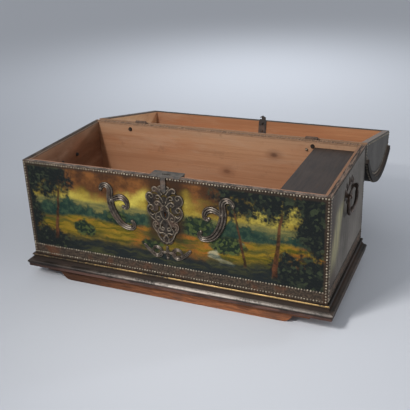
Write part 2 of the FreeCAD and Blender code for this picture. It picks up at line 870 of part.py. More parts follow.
# Hasp on the inside of the lid: a plate with a gabled tongue, notched for the lock's bolt
hasp = body("lid_hasp")
hasp_half = size.hasp_width / 2
notch_top = lid_foot - size.tongue_notch_top
notch_foot = notch_top - size.tongue_notch
notch_x = -tongue_half + size.tongue_notch_depth
gable = lid_foot - size.tongue_length + size.tongue_gable
hasp_face = [
    (-hasp_half, lid_foot + size.hasp_height),
    (-hasp_half, lid_wood),
    (-tongue_half, lid_wood),
    (-tongue_half, notch_top),
    (notch_x, notch_top),
    (notch_x, notch_foot),
    (-tongue_half, notch_foot),
    (-tongue_half, gable),
    (zero, lid_foot - size.tongue_length),
    (tongue_half, gable),
    (tongue_half, lid_wood),
    (hasp_half, lid_wood),
    (hasp_half, lid_foot + size.hasp_height),
]
hasp_plane = rail_in - size.hasp_thickness
pad(hasp, outline(hasp, "XZ", [hasp_face], hasp_plane), size.hasp_thickness, "One side")
keep_on_lid(hasp, "lid_hasp")


# Ironwork cut from plate: bars that curl along arcs, with round buds at their ends
CHORD_ANGLE = 15
CHORD_LENGTH = 14


def ring_sector(centre, radius, width, start, sweep):
    """A flat bar bent to an arc and filed in short chords; angles in degrees, as a face in the XY plane."""
    def at(reach, angle):
        turn = math.radians(angle)
        return centre + Vector(math.cos(turn), math.sin(turn), 0) * reach

    by_angle = math.ceil(abs(sweep) / CHORD_ANGLE)
    by_length = math.ceil(math.radians(abs(sweep)) * radius / CHORD_LENGTH)
    chords = max(by_angle, by_length)
    angles = [start + sweep * step / chords for step in range(chords + 1)]
    corners = [at(radius + width / 2, angle) for angle in angles]
    corners += [at(radius - width / 2, angle) for angle in reversed(angles)]
    return Part.Face(Part.makePolygon(corners + corners[:1]))


def disc(centre, radius):
    return Part.Face(Part.Wire([Part.Circle(centre, Vector(0, 0, 1), radius).toShape()]))


def scroll(start, heading, bends, bud):
    """Faces of a bar that leaves a point along a heading and follows bends of (radius, sweep, width)."""
    faces = []
    point = start
    for radius, sweep, width in bends:
        side = 1 if sweep > 0 else -1
        normal = math.radians(heading + 90 * side)
        centre = point + Vector(math.cos(normal), math.sin(normal), 0) * radius
        faces.append(ring_sector(centre, radius, width, heading - 90 * side, sweep))
        heading += sweep
        leave = math.radians(heading - 90 * side)
        point = centre + Vector(math.cos(leave), math.sin(leave), 0) * radius
    faces.append(disc(point, bud))
    return faces


def mirrored(faces):
    return [face.mirror(Vector(), Vector(1, 0, 0)) for face in faces]


def plate_solid(faces, thickness, holes=()):
    """One plate from faces that overlap, with holes cut through it."""
    through = Vector(0, 0, thickness)
    bars = [face.extrude(through) for face in faces]
    shape = bars[0].multiFuse(bars[1:]) if len(bars) > 1 else bars[0]
    for hole in holes:
        shape = shape.cut(hole.extrude(through))
    return shape.removeSplitter()


def ironwork(name, solid, placement):
    made = doc.addObject("Part::Feature", name)
    made.Shape = solid
    made.Placement = placement
    return keep(made, name)


on_front = Rotation(Vector(1, 0, 0), 90)
on_right = Rotation(Vector(1, 1, 1), 120)
on_left = Rotation(Vector(0, 0, 1), 180).multiply(on_right)
iron = size.iron_plate.value

# Scroll mounts: a stem with a loop at the top and a curl at the foot, and a branch with a curl.
# Each bend is its radius as a share of the height, its sweep, and its width as a share of the bar.
LOOP_START_SHARES = (-0.297, 0.626)
STEM_BENDS_SHARES = ((0.123, -190, 0.58), (0.884, 50, 1.0), (0.368, 50, 0.9), (0.09, 150, 0.52))
BRANCH_START_SHARES = (-0.039, 0.381)
BRANCH_HEADING = 40
BRANCH_BENDS_SHARES = ((0.516, -25, 0.76), (0.168, -115, 0.76), (0.058, -130, 0.46))


def scaled(bends, height, bar):
    return [(share * height, sweep, width * bar) for share, sweep, width in bends]


def scroll_mount():
    height = size.scroll_height.value
    bar = size.scroll_bar.value
    bud = size.scroll_bud.value
    loop = Vector(*LOOP_START_SHARES, 0) * height
    branch = Vector(*BRANCH_START_SHARES, 0) * height
    faces = [disc(loop, bud)]
    faces += scroll(loop, 90, scaled(STEM_BENDS_SHARES, height, bar), bud)
    faces += scroll(branch, BRANCH_HEADING, scaled(BRANCH_BENDS_SHARES, height, bar), bud)
    return faces


mount_z = moulding_top + size.scroll_level
mount_y = -face_y.value
ironwork("left_scroll_mount", plate_solid(scroll_mount(), iron),
         Placement(Vector(-size.scroll_place.value, mount_y, mount_z.value), on_front))
ironwork("right_scroll_mount", plate_solid(mirrored(scroll_mount()), iron),
         Placement(Vector(size.scroll_place.value, mount_y, mount_z.value), on_front))

# Double scroll under the lock plate: two arms that come in and down and curl up at a boss between them
LOW_SCROLL_START_SHARES = (-1.47, 0.72)
LOW_SCROLL_HEADING = -50
LOW_SCROLL_BENDS_SHARES = ((2.5, 20, 1.0), (0.28, 250, 1.0))
LOW_SCROLL_BOSS_SHARES = (0.0, 0.4)
low_height = size.low_scroll_height.value
low_start = Vector(*LOW_SCROLL_START_SHARES, 0) * low_height
low_bends = scaled(LOW_SCROLL_BENDS_SHARES, low_height, size.low_scroll_bar.value)
low_scroll = scroll(low_start, LOW_SCROLL_HEADING, low_bends, size.low_scroll_bud.value)
low_scroll.append(disc(low_start, size.low_scroll_bud.value))
low_boss = disc(Vector(*LOW_SCROLL_BOSS_SHARES, 0) * low_height, size.low_scroll_boss.value)
low_scroll += mirrored(low_scroll) + [low_boss]
low_scroll_z = moulding_top + size.low_scroll_level
ironwork("lower_scroll_mount", plate_solid(low_scroll, iron),
         Placement(Vector(0, mount_y, low_scroll_z.value), on_front))

# Lock plate: a tapering cartouche with lobed edges, pierced all over, drawn for its right half.
# Each edge row is the point that an arc passes through and the point where it ends.
PLATE_EDGE_SHARES = (
    ((0.24, 0.012), (0.36, 0.085)),
    ((0.36, 0.14), (0.52, 0.2)),
    ((0.7, 0.27), (0.66, 0.36)),
    ((0.66, 0.41), (0.78, 0.45)),
    ((0.95, 0.54), (0.88, 0.64)),
    ((0.87, 0.68), (0.95, 0.72)),
    ((0.98, 0.8), (0.82, 0.86)),
    ((0.7, 0.86), (0.62, 0.9)),
    ((0.5, 0.965), (0.36, 0.93)),
    ((0.28, 0.93), (0.22, 0.955)),
    ((0.12, 0.995), (0.0, 1.0)),
)
# Piercings: centre across and up, radius, start and sweep of each curved slot of the right half
PLATE_SLOT_SHARES = (
    (0.52, 0.6, 0.24, 150, 240),
    (0.5, 0.79, 0.2, 20, 250),
    (0.36, 0.35, 0.19, 190, 250),
    (0.18, 0.16, 0.1, 200, 260),
    (0.0, 0.78, 0.14, 20, 140),
)
PLATE_SLOT_WIDTH_SHARE = 0.1


def lock_plate_faces():
    half = size.lock_plate_width.value / 2
    height = size.lock_plate_height.value

    def place(share, side):
        return Vector(share[0] * half * side, share[1] * height, 0)

    edges = []
    for side in (1, -1):
        start = place((0.0, 0.0), side)
        for via, end in PLATE_EDGE_SHARES:
            edges.append(Part.Arc(start, place(via, side), place(end, side)).toShape())
            start = place(end, side)
    plate = Part.Face(Part.Wire(Part.__sortEdges__(edges)))
    slots = []
    for across, up, radius, begin, sweep in PLATE_SLOT_SHARES:
        slot = ring_sector(place((across, up), 1), radius * half, PLATE_SLOT_WIDTH_SHARE * half, begin, sweep)
        slots.append(slot)
        if across:
            slots.extend(mirrored([slot]))
    key = Vector(0, (size.keyhole_height - size.lock_plate_foot).value, 0)
    slots.append(disc(key, size.keyhole_radius.value))
    slot_half = size.keyhole_slot_width.value / 2
    drop = Vector(0, -size.keyhole_slot.value, 0)
    corner = Vector(slot_half, 0, 0)
    leg = [key - corner, key + corner, key + corner + drop, key - corner + drop, key - corner]
    slots.append(Part.Face(Part.makePolygon(leg)))
    return plate, slots


plate_face, plate_slots = lock_plate_faces()
plate_z = moulding_top + size.lock_plate_foot
ironwork("lock_plate", plate_solid([plate_face], iron, plate_slots),
         Placement(Vector(0, mount_y, plate_z.value), on_front))


# Drop handles: a scrolled plate with two eyes on each end, and a bail that hangs in them
HANDLE_ARCH_SWEEP = 114
handle_z = rim - size.handle_drop
eye_x = face_x + size.iron_plate + size.eye_out


def handle_plate():
    half = size.eye_spacing.value / 2
    arch = size.handle_plate_arch.value
    bar = size.handle_plate_bar.value
    rise = math.sqrt(arch * arch - half * half)
    faces = [disc(Vector(half, 0, 0), size.handle_plate_disc.value)]
    faces += mirrored(faces)
    begin = 90 - HANDLE_ARCH_SWEEP / 2
    upper = ring_sector(Vector(0, -rise, 0), arch, bar, begin, HANDLE_ARCH_SWEEP)
    lower = ring_sector(Vector(0, rise, 0), arch, bar, begin + 180, HANDLE_ARCH_SWEEP)
    boss = size.handle_plate_boss.value
    faces += [upper, lower, disc(Vector(0, arch - rise, 0), boss), disc(Vector(0, rise - arch, 0), boss)]
    return faces


def handle_eyes(name, side):
    eyes = []
    for step in (-1, 1):
        middle = size.eye_spacing / 2 * step
        across = (middle - size.eye_length / 2, middle + size.eye_length / 2)
        stem_x = span(side, face_x + size.iron_plate, eye_x)
        stem_half = size.eye_radius * size.eye_stem_share
        hole = size.bail_radius + size.bail_clearance
        tag = f"{name}_{'front' if step < 0 else 'rear'}"
        knob = cross_rod(f"{tag}_knob", size.eye_radius, eye_x * side, across, handle_z)
        stem = block(f"{tag}_stem", stem_x, across, (handle_z - stem_half, handle_z + stem_half))
        through = (across[0] - size.overrun, across[1] + size.overrun)
        bore = cross_rod(f"{tag}_bore", hole, eye_x * side, through, handle_z)
        eyes.append(cut(f"{tag}_eye", fuse(f"{tag}_lug", [knob, stem]), bore))
    group = doc.addObject("Part::Compound", name)
    group.Links = eyes
    return keep(group, name)


def draw_path(drawing, stops):
    """An open run of corners, with arcs as in a loop."""
    held = None
    place = 0
    while place < len(stops) - 1:
        start = stops[place]
        via = stops[place + 1] if isinstance(stops[place + 1], Via) else None
        place += 2 if via else 1
        edge, head, tail = draw_edge(drawing, start, via, stops[place])
        pin_point(drawing, edge, head, start)
        if held:
            drawing.addConstraint(Sketcher.Constraint("Coincident", *held, edge, head))
        held = (edge, tail)
    pin_point(drawing, *held, stops[-1])


def quarter(y, z, radius, across, up):
    """The middle of a quarter bend round a centre, on its outer side."""
    return Via((y + radius * across * DIAGONAL_SHARE, z + radius * up * DIAGONAL_SHARE))


DIAGONAL_SHARE = math.sqrt(2) / 2
BAR_FLAT_SHARE = 0.9


def bail(name, side):
    """A square bar bent to a drop handle, with round stubs for the eyes and a swelled grip."""
    made = body(name)
    inner = size.eye_spacing / 2 - size.bail_stub
    arm = size.eye_spacing / 2 + size.eye_length / 2 + size.bail_shoulder
    turn = size.bail_shoulder
    shoulder = arm - turn
    bend = size.bail_bend
    foot = handle_z - size.bail_drop
    path = sketch(made, "YZ")
    draw_path(path, [
        (-shoulder, handle_z),
        quarter(-shoulder, handle_z - turn, turn, -1, 1),
        (-arm, handle_z - turn),
        (-arm, foot + bend),
        quarter(-arm + bend, foot + bend, bend, -1, -1),
        (-arm + bend, foot),
        (arm - bend, foot),
        quarter(arm - bend, foot + bend, bend, 1, -1),
        (arm, foot + bend),
        (arm, handle_z - turn),
        quarter(shoulder, handle_z - turn, turn, 1, 1),
        (shoulder, handle_z),
    ])
    flat = size.bail_radius * BAR_FLAT_SHARE
    square_bar = [(flat, flat), (flat, -flat), (-flat, -flat), (-flat, flat)]
    bar_section = outline(made, "XZ", [[(u, handle_z + v) for u, v in square_bar]], shoulder)
    bar = made.newObject("PartDesign::AdditivePipe", f"{name}_bar")
    bar.Profile = bar_section
    bar.Spine = path
    for start in (inner, -shoulder):
        stub = ring(made, "XZ", (zero, handle_z), size.bail_radius, start)
        pad(made, stub, shoulder - inner, "One side")
    grip_half = size.grip_length / 2
    swell_half = grip_half / 3
    grip = outline(made, "YZ", [[
        (-grip_half, foot),
        (grip_half, foot),
        (grip_half, foot + size.bail_radius),
        (swell_half, foot + size.grip_radius),
        (-swell_half, foot + size.grip_radius),
        (-grip_half, foot + size.bail_radius),
    ]])
    axis = grip.addGeometry(Part.LineSegment(spot((-grip_half, foot)), spot((grip_half, foot))), True)
    grip.addConstraint(Sketcher.Constraint("Coincident", axis, 1, 0, 1))
    grip.addConstraint(Sketcher.Constraint("Coincident", axis, 2, 0, 2))
    swelling = made.newObject("PartDesign::Revolution", f"{name}_swelling")
    swelling.Profile = grip
    swelling.ReferenceAxis = (grip, ["Axis0"])
    swelling.Angle = 360
    return keep(move(made, x=eye_x * side), name)


for name, side, facing in (("left", -1, on_left), ("right", 1, on_right)):
    ironwork(f"{name}_handle_plate", plate_solid(handle_plate(), iron),
             Placement(Vector(face_x.value * side, 0, handle_z.value), facing))
    handle_eyes(f"{name}_handle_eyes", side)
    bail(f"{name}_bail", side)


# Every piece is sound before any is written
doc.recompute()
for thing in doc.Objects:
    faults = {"Invalid", "Error"} & set(thing.State)
    if faults:
        raise RuntimeError(f"{thing.Label} did not build: {thing.State}")
for label, thing in pieces.items():
    if thing.Shape.isNull() or not thing.Shape.isValid():
        raise RuntimeError(f"{label} has no valid shape")

os.makedirs("parts", exist_ok=True)
for label, thing in pieces.items():
    thing.Shape.exportStep(f"parts/{label}.step")
print(len(pieces), "pieces")
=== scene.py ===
import math

import bpy
from mathutils import Euler, Matrix, Vector


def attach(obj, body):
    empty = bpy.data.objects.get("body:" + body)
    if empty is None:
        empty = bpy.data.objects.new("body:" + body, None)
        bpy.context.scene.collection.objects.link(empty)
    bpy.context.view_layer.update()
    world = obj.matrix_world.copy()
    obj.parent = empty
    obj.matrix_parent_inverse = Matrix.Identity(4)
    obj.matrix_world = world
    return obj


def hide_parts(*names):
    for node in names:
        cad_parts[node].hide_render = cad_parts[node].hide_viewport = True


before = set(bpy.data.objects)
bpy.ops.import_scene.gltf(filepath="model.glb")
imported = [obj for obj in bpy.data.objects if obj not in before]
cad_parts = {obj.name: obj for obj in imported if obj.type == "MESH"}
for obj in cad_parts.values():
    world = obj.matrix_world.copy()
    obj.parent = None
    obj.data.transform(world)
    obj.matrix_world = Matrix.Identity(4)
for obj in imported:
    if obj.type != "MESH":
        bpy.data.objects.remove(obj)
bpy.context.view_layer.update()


# Pine carcass: planed boards of bare pine, dovetailed at the corners, with a floor of two planks.
# The grain runs along each board; it has aged to a dull orange-brown, greyed along the upper edges.
class Wire:
    """A socket of a node tree. Sums, products and so on of wires add Math nodes."""

    def __init__(self, tree, socket):
        self.tree = tree
        self.socket = socket

    def node(self, kind, settings=None, sockets=None, out=0):
        """A new node: its settings, then a value, a wire or a list of wires for each socket."""
        made = self.tree.nodes.new(kind)
        for name, value in (settings or {}).items():
            setattr(made, name, value)
        for key, value in (sockets or {}).items():
            for part in value if isinstance(value, list) else [value]:
                if isinstance(part, Wire):
                    self.tree.links.new(part.socket, made.inputs[key])
                else:
                    made.inputs[key].default_value = part
        return Wire(self.tree, made.outputs[out])

    def maths(self, operation, *values):
        return self.node("ShaderNodeMath", {"operation": operation}, dict(enumerate(values)))

    def __add__(self, other):
        return self.maths("ADD", self, other)

    __radd__ = __add__

    def __sub__(self, other):
        return self.maths("SUBTRACT", self, other)

    def __rsub__(self, other):
        return self.maths("SUBTRACT", other, self)

    def __mul__(self, other):
        return self.maths("MULTIPLY", self, other)

    __rmul__ = __mul__

    def size(self):
        return self.maths("ABSOLUTE", self)

    def root(self):
        return self.maths("SQRT", self)

    def axes(self):
        node = self.node("ShaderNodeSeparateXYZ", None, {0: self}).socket.node
        return [Wire(self.tree, socket) for socket in node.outputs]


def new_finish(name):
    """A material, its shader, and where each point is on the piece."""
    made = bpy.data.materials.new(name)
    made.use_nodes = True
    tree = made.node_tree
    place = Wire(tree, tree.nodes.new("ShaderNodeTexCoord").outputs["Object"])
    return made, tree.nodes["Principled BSDF"], place


def feed(shader, gloss=0.5, **wires):
    """Links wires to the shader's sockets; gloss is how strongly the surface reflects."""
    shader.inputs["Specular IOR Level"].default_value = gloss
    for socket, wire in wires.items():
        wire.tree.links.new(wire.socket, shader.inputs[socket.replace("_", " ").title()])


def noise(at, scale, detail=3.0, rough=0.55, warp=0.0):
    return at.node("ShaderNodeTexNoise", None, {
        "Vector": at, "Scale": scale, "Detail": detail, "Roughness": rough, "Distortion": warp})


def stretched(at, scale, turn=(0, 0, 0)):
    return at.node("ShaderNodeMapping", None, {"Vector": at, "Scale": scale, "Rotation": turn})


def rise(value, low, high):
    """Nought below low, one above high, smooth between."""
    return value.node("ShaderNodeMapRange", {"interpolation_type": "SMOOTHSTEP"},
                      {"Value": value, "From Min": low, "From Max": high})


def blend(factor, under, over):
    return factor.node("ShaderNodeMix", {"data_type": "RGBA"}, {0: factor, 6: under, 7: over}, out=2)


def between(value, low, high, first, second):
    """The first colour below low, the second above high."""
    return blend(rise(value, low, high), first, second)


def any_of(first, *others):
    for other in others:
        first = first.maths("MAXIMUM", first, other)
    return first


def bump(height, depth):
    return height.node("ShaderNodeBump", None, {"Height": height, "Distance": depth})


half_x, half_y = 0.575, 0.263
hinge_y, hinge_z, lid_swing = 0.2746, 0.4723, math.radians(192)
pine_light, pine_dark, pine_edge = (0.48, 0.255, 0.135, 1), (0.34, 0.165, 0.08, 1), (0.34, 0.2, 0.13, 1)
pine_warm, pine_faded, pine_grime = (0.34, 0.135, 0.062, 1), (0.42, 0.27, 0.175, 1), (0.19, 0.1, 0.056, 1)
pine_greyed, pine_reddened = (0.35, 0.225, 0.14, 1), (0.26, 0.105, 0.052, 1)
knot_ring, knot_heart = (0.13, 0.055, 0.03, 1), (0.06, 0.025, 0.015, 1)


def above_lid_foot(y, z):
    """How high a point of the open lid lies above the hinge when the lid is shut."""
    return (y - hinge_y) * math.sin(lid_swing) + (z - hinge_z) * math.cos(lid_swing)


def pine(name, grain, turn=0.0, light=pine_light, dark=pine_dark, knots=(), worn=None, edge_tone=pine_edge,
         lid_edge=None):
    """Flat-sawn pine. grain is the stretch of its figure along X, Y and Z, and knots are at (across, up).
    worn is where a wall greys towards its top, edge_tone its top edge, and lid_edge the lid's stain."""
    made, shader, at = new_finish(name)
    x, y, z = at.axes()
    lie = stretched(at, grain, (turn, 0, 0))
    drift = noise(lie, 2.6, 2.0)
    bands = noise(stretched(lie, (0.3, 1, 1)), 11.0, 4.0, 0.6, 0.4)
    streak = noise(stretched(lie, (0.5, 6, 6)), 24.0, 4.0, 0.7)
    colour = between(bands * 0.55 + streak * 0.3 + drift * 0.3, 0.45, 0.7, light, dark)
    warm = rise(noise(stretched(lie, (1, 0.6, 0.6)), 5.5, 4.0, 0.6), 0.46, 0.66)
    colour = blend(warm * 0.5, colour, pine_warm)
    faded = rise(noise(stretched(lie, (0.8, 0.7, 0.7)), 9.0, 5.0, 0.7, 0.3), 0.5, 0.68)
    colour = blend(faded * 0.4, colour, pine_faded)
    for across, up in knots:
        ring = ((x - across) * (x - across) * 0.4 + (z - up) * (z - up)).root()
        ring = ring + (streak - 0.5) * 0.012 + (drift - 0.5) * 0.008
        colour = blend((1 - rise(ring, 0.004, 0.032)) * 0.5, colour, knot_ring)
        colour = blend((1 - rise(ring, 0.002, 0.012)) * 0.7, colour, knot_heart)
    if worn:
        grey = rise(z + (noise(at, 9.0) - 0.5) * 0.09, *worn)
        colour = blend(grey * 0.5, colour, pine_greyed)
        low = 1 - rise(z + (drift - 0.5) * 0.12, 0.27, 0.42)
        colour = blend(low * 0.4, colour, pine_reddened)
        edge = rise(z + (noise(at, 60.0) - 0.5) * 0.006, 0.4655, 0.4695)
        colour = blend(edge * 0.8, colour, edge_tone)
    grime = rise(noise(at, 15.0, 5.0, 0.72), 0.56, 0.74)
    colour = blend(grime * 0.45, colour, pine_grime)
    if lid_edge:
        foot = 1 - rise(above_lid_foot(y, z) + (streak - 0.5) * 0.004, 0.003, 0.0055)
        colour = blend(any_of(rise(x.size(), half_x - 0.0015, half_x), foot), colour, lid_edge)
    feed(shader, 0.3, base_color=colour, roughness=0.6 + streak * 0.25,
         normal=bump(streak + bands * 0.5, 0.0009))
    return made


def dress(material, *nodes):
    for node in nodes:
        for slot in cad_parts[node].material_slots:
            slot.material = material


back_pine = pine("back_pine", (0.3, 1, 1.6), light=(0.4, 0.21, 0.112, 1), dark=(0.27, 0.13, 0.064, 1),
                 knots=((0.03, 0.312), (0.2285, 0.4027), (-0.36, 0.2)), worn=(0.4, 0.49),
                 edge_tone=(0.2, 0.11, 0.06, 1))
front_pine = pine("front_pine", (0.3, 1, 1.6), worn=(0.42, 0.49), edge_tone=(0.24, 0.125, 0.08, 1))
# painted shade: the end walls take darker tones than the back board, for the shade on their inner faces
end_shaded_tones = {"light": (0.2, 0.1, 0.054, 1), "dark": (0.125, 0.056, 0.029, 1), "worn": (0.42, 0.49)}
left_pine = pine("left_pine", (1, 0.3, 1.6), edge_tone=(0.07, 0.05, 0.038, 1), **end_shaded_tones)
right_pine = pine("right_pine", (1, 0.3, 1.6), edge_tone=(0.2, 0.1, 0.055, 1), **end_shaded_tones)
floor_pine = pine("floor_pine", (0.3, 1.5, 1), light=(0.32, 0.165, 0.085, 1))
dress(back_pine, "back_board")
dress(front_pine, "front_board")
dress(left_pine, "left_end_board")
dress(right_pine, "right_end_board", "till_side", "till_floor")
dress(floor_pine, "bottom_plank_front", "bottom_plank_rear")


# Till lid: one thin board over the till at the right-hand end, stained nearly black, dulled and
# scratched; it turns on two wooden pivots in the front and back walls
till_brown, till_black = (0.036, 0.025, 0.02, 1), (0.02, 0.015, 0.013, 1)
till_scuff, till_dust = (0.09, 0.065, 0.05, 1), (0.056, 0.042, 0.036, 1)


def stained_board():
    made, shader, at = new_finish("stained_till_lid")
    streak = noise(stretched(at, (5, 0.5, 5)), 16.0, 4.0, 0.65)
    scuff = rise(noise(stretched(at, (9, 1.6, 9)), 9.0, 5.0, 0.7), 0.54, 0.74)
    dust = rise(noise(at, 5.0, 3.0), 0.48, 0.7)
    colour = between(streak, 0.35, 0.7, till_brown, till_black)
    colour = blend(scuff * 0.5, colour, till_scuff)
    colour = blend(dust * 0.3, colour, till_dust)
    feed(shader, 0.3, base_color=colour, roughness=0.55 + scuff * 0.25, normal=bump(streak, 0.0006))
    return made


dress(stained_board(), "till_lid")


# Leather on the ends, the back and the lid: hide in one sheet a side, glued, nailed and turned over the
# rim, blackened with age; the grain is fine, the turned edges are rubbed to brown and split, and the
# lid's ends have a dark border along the arch
hide_rubbed, hide_strip, hide_split = (0.13, 0.085, 0.06, 1), (0.05, 0.034, 0.024, 1), (0.02, 0.016, 0.014, 1)
hide_dusk, wash_pale, wash_deep = (0.055, 0.04, 0.032, 1), (0.35, 0.315, 0.17, 1), (0.22, 0.205, 0.13, 1)
rim_height, strip_height = 0.472, 0.132
dome_axis, arch_border = 0.27005, (0.339, 0.343)
hinge = Matrix.Translation((0, hinge_y, hinge_z))
lid_turn = Matrix.Rotation(-lid_swing, 4, "X")
opened = hinge @ lid_turn @ hinge.inverted()


def cells(at, scale, feature="F1", out=0):
    return at.node("ShaderNodeTexVoronoi", {"feature": feature}, {"Vector": at, "Scale": scale}, out)


def band(value, lower, upper):
    """One between two soft edges, each given as (from, to)."""
    return rise(value, *lower) * (1 - rise(value, *upper))


def hide(name, deep, pale, rim=None, crack=hide_split, foot=None, painted=False, bordered=False, gloss=0.15):
    """rim colours the chest's turned rim, crack the splits in it, and foot the edge at the lid's foot.
    painted adds remains of paint, and bordered the border of a lid's end."""
    made, shader, at = new_finish(name)
    _, y, z = at.axes()
    cloud = noise(at, 4.5, 4.0, 0.6)
    fine = noise(at, 70.0, 4.0, 0.65)
    drag = noise(stretched(at, (3, 9, 1.1)), 7.0, 4.0, 0.6, 0.6)
    colour = between(cloud * 0.55 + fine * 0.2 + drag * 0.25, 0.38, 0.62, deep, pale)
    if painted:
        dusk = rise((cloud - 0.5) * 0.14 - y, 0.11, 0.22)
        colour = blend(dusk * 0.8, colour, hide_dusk)
        slant = (z - 0.3) * 0.5 - y - 0.15 + (drag - 0.5) * 0.05 + (cloud - 0.5) * 0.1
        patch = (1 - rise(slant.size(), 0.01, 0.085)) * band(z, (0.15, 0.25), (0.36, 0.41))
        colour = blend(patch * 0.8, colour, between(drag, 0.4, 0.6, wash_pale, wash_deep))
    if rim:
        low = rise(strip_height - z + (fine - 0.5) * 0.006, 0.0, 0.004)
        colour = blend(low, colour, between(fine, 0.4, 0.65, hide_strip, hide_rubbed))
        turned = rise(z + (fine - 0.5) * 0.006, rim_height - 0.008, rim_height - 0.0015)
        splits = noise(stretched(at, (7, 0.6, 7)), 26.0, 4.0, 0.65)
        colour = blend(turned, colour, between(splits, 0.44, 0.56, crack, rim))
    if foot:
        edge = 1 - rise(above_lid_foot(y, z) + (fine - 0.5) * 0.004, 0.004, 0.007)
        colour = blend(edge, colour, foot)
    if bordered:
        _, arch_y, arch_z = opened @ Vector((0, 0, dome_axis))
        out = ((y - arch_y) * (y - arch_y) + (z - arch_z) * (z - arch_z)).root() + (fine - 0.5) * 0.003
        colour = blend(rise(out, *arch_border) * 0.85, colour, hide_split)
    scrape = rise(noise(stretched(at, (2, 2, 5), (0.3, 0.2, 0.1)), 24.0, 5.0, 0.72), 0.6, 0.74)
    colour = blend(scrape * 0.35, colour, hide_rubbed)
    pebbles = cells(at, 620.0)
    crease = noise(at, 38.0, 5.0, 0.7)
    feed(shader, gloss, base_color=colour, roughness=0.5 + fine * 0.3,
         normal=bump(pebbles * 0.35 + crease, 0.0009))
    return made


side_deep, side_pale = (0.08, 0.071, 0.061, 1), (0.165, 0.148, 0.13, 1)
back_deep, back_pale, back_crack = (0.04, 0.04, 0.036, 1), (0.085, 0.08, 0.07, 1), (0.11, 0.066, 0.042, 1)
lid_deep, lid_pale = (0.044, 0.04, 0.036, 1), (0.09, 0.083, 0.075, 1)
dome_deep, dome_pale = (0.016, 0.014, 0.012, 1), (0.045, 0.04, 0.036, 1)
rim_dark, rim_brown, rim_tan = (0.085, 0.066, 0.052, 1), (0.17, 0.115, 0.085, 1), (0.26, 0.15, 0.088, 1)
dress(hide("right_hide", side_deep, side_pale, rim_brown, painted=True), "right_leather")
dress(hide("left_hide", side_deep, side_pale, rim_dark), "left_leather")
dress(hide("back_hide", back_deep, back_pale, rim_tan, back_crack), "back_leather")
dress(hide("lid_hide", lid_deep, lid_pale), "lid_front_leather")
dress(hide("lid_end_hide", lid_deep, lid_pale, bordered=True), "lid_left_leather", "lid_right_leather")
dress(hide("lid_back_hide", lid_deep, lid_pale, foot=rim_tan), "lid_back_leather")
dress(hide("dome_hide", dome_deep, dome_pale, gloss=0.05), "lid_dome_leather")


# Painted front: leather primed and painted in oils with a wooded valley, then varnished; a plain brown
# strip is left along the foot between two nail rows. The varnish has crazed, and the paint is rubbed.
paint_height = 0.33
paints = {
    "gold sky": ((0.25, 0.175, 0.026, 1), (0.47, 0.385, 0.07, 1)),
    "umber sky": ((0.06, 0.026, 0.012, 1), (0.19, 0.075, 0.022, 1)),
    "hill": ((0.085, 0.095, 0.04, 1), (0.17, 0.15, 0.05, 1)),
    "far wood": ((0.012, 0.03, 0.024, 1), (0.04, 0.07, 0.04, 1)),
    "meadow": ((0.08, 0.07, 0.008, 1), (0.24, 0.155, 0.016, 1)),
    "water": ((0.1, 0.13, 0.11, 1), (0.34, 0.32, 0.2, 1)),
    "bank": ((0.014, 0.018, 0.019, 1), (0.05, 0.052, 0.022, 1)),
    "bush": ((0.012, 0.022, 0.014, 1), (0.06, 0.08, 0.026, 1)),
    "tree": ((0.01, 0.013, 0.013, 1), (0.036, 0.046, 0.026, 1)),
    "bark": ((0.022, 0.011, 0.007, 1), (0.125, 0.047, 0.021, 1)),
    "strip": ((0.034, 0.026, 0.02, 1), (0.092, 0.066, 0.047, 1)),
    "worn rim": ((0.055, 0.046, 0.04, 1), (0.18, 0.135, 0.105, 1)),
}
meadow_rust, meadow_shade = (0.28, 0.088, 0.016, 1), (0.04, 0.052, 0.016, 1)
strip_rust, upper_edge, side_edge = (0.14, 0.05, 0.022, 1), (0.04, 0.026, 0.018, 1), (0.05, 0.032, 0.022, 1)
lock_shade, craze_line, rubbed_speck = (0.035, 0.019, 0.011, 1), (0.02, 0.014, 0.01, 1), (0.34, 0.22, 0.1, 1)


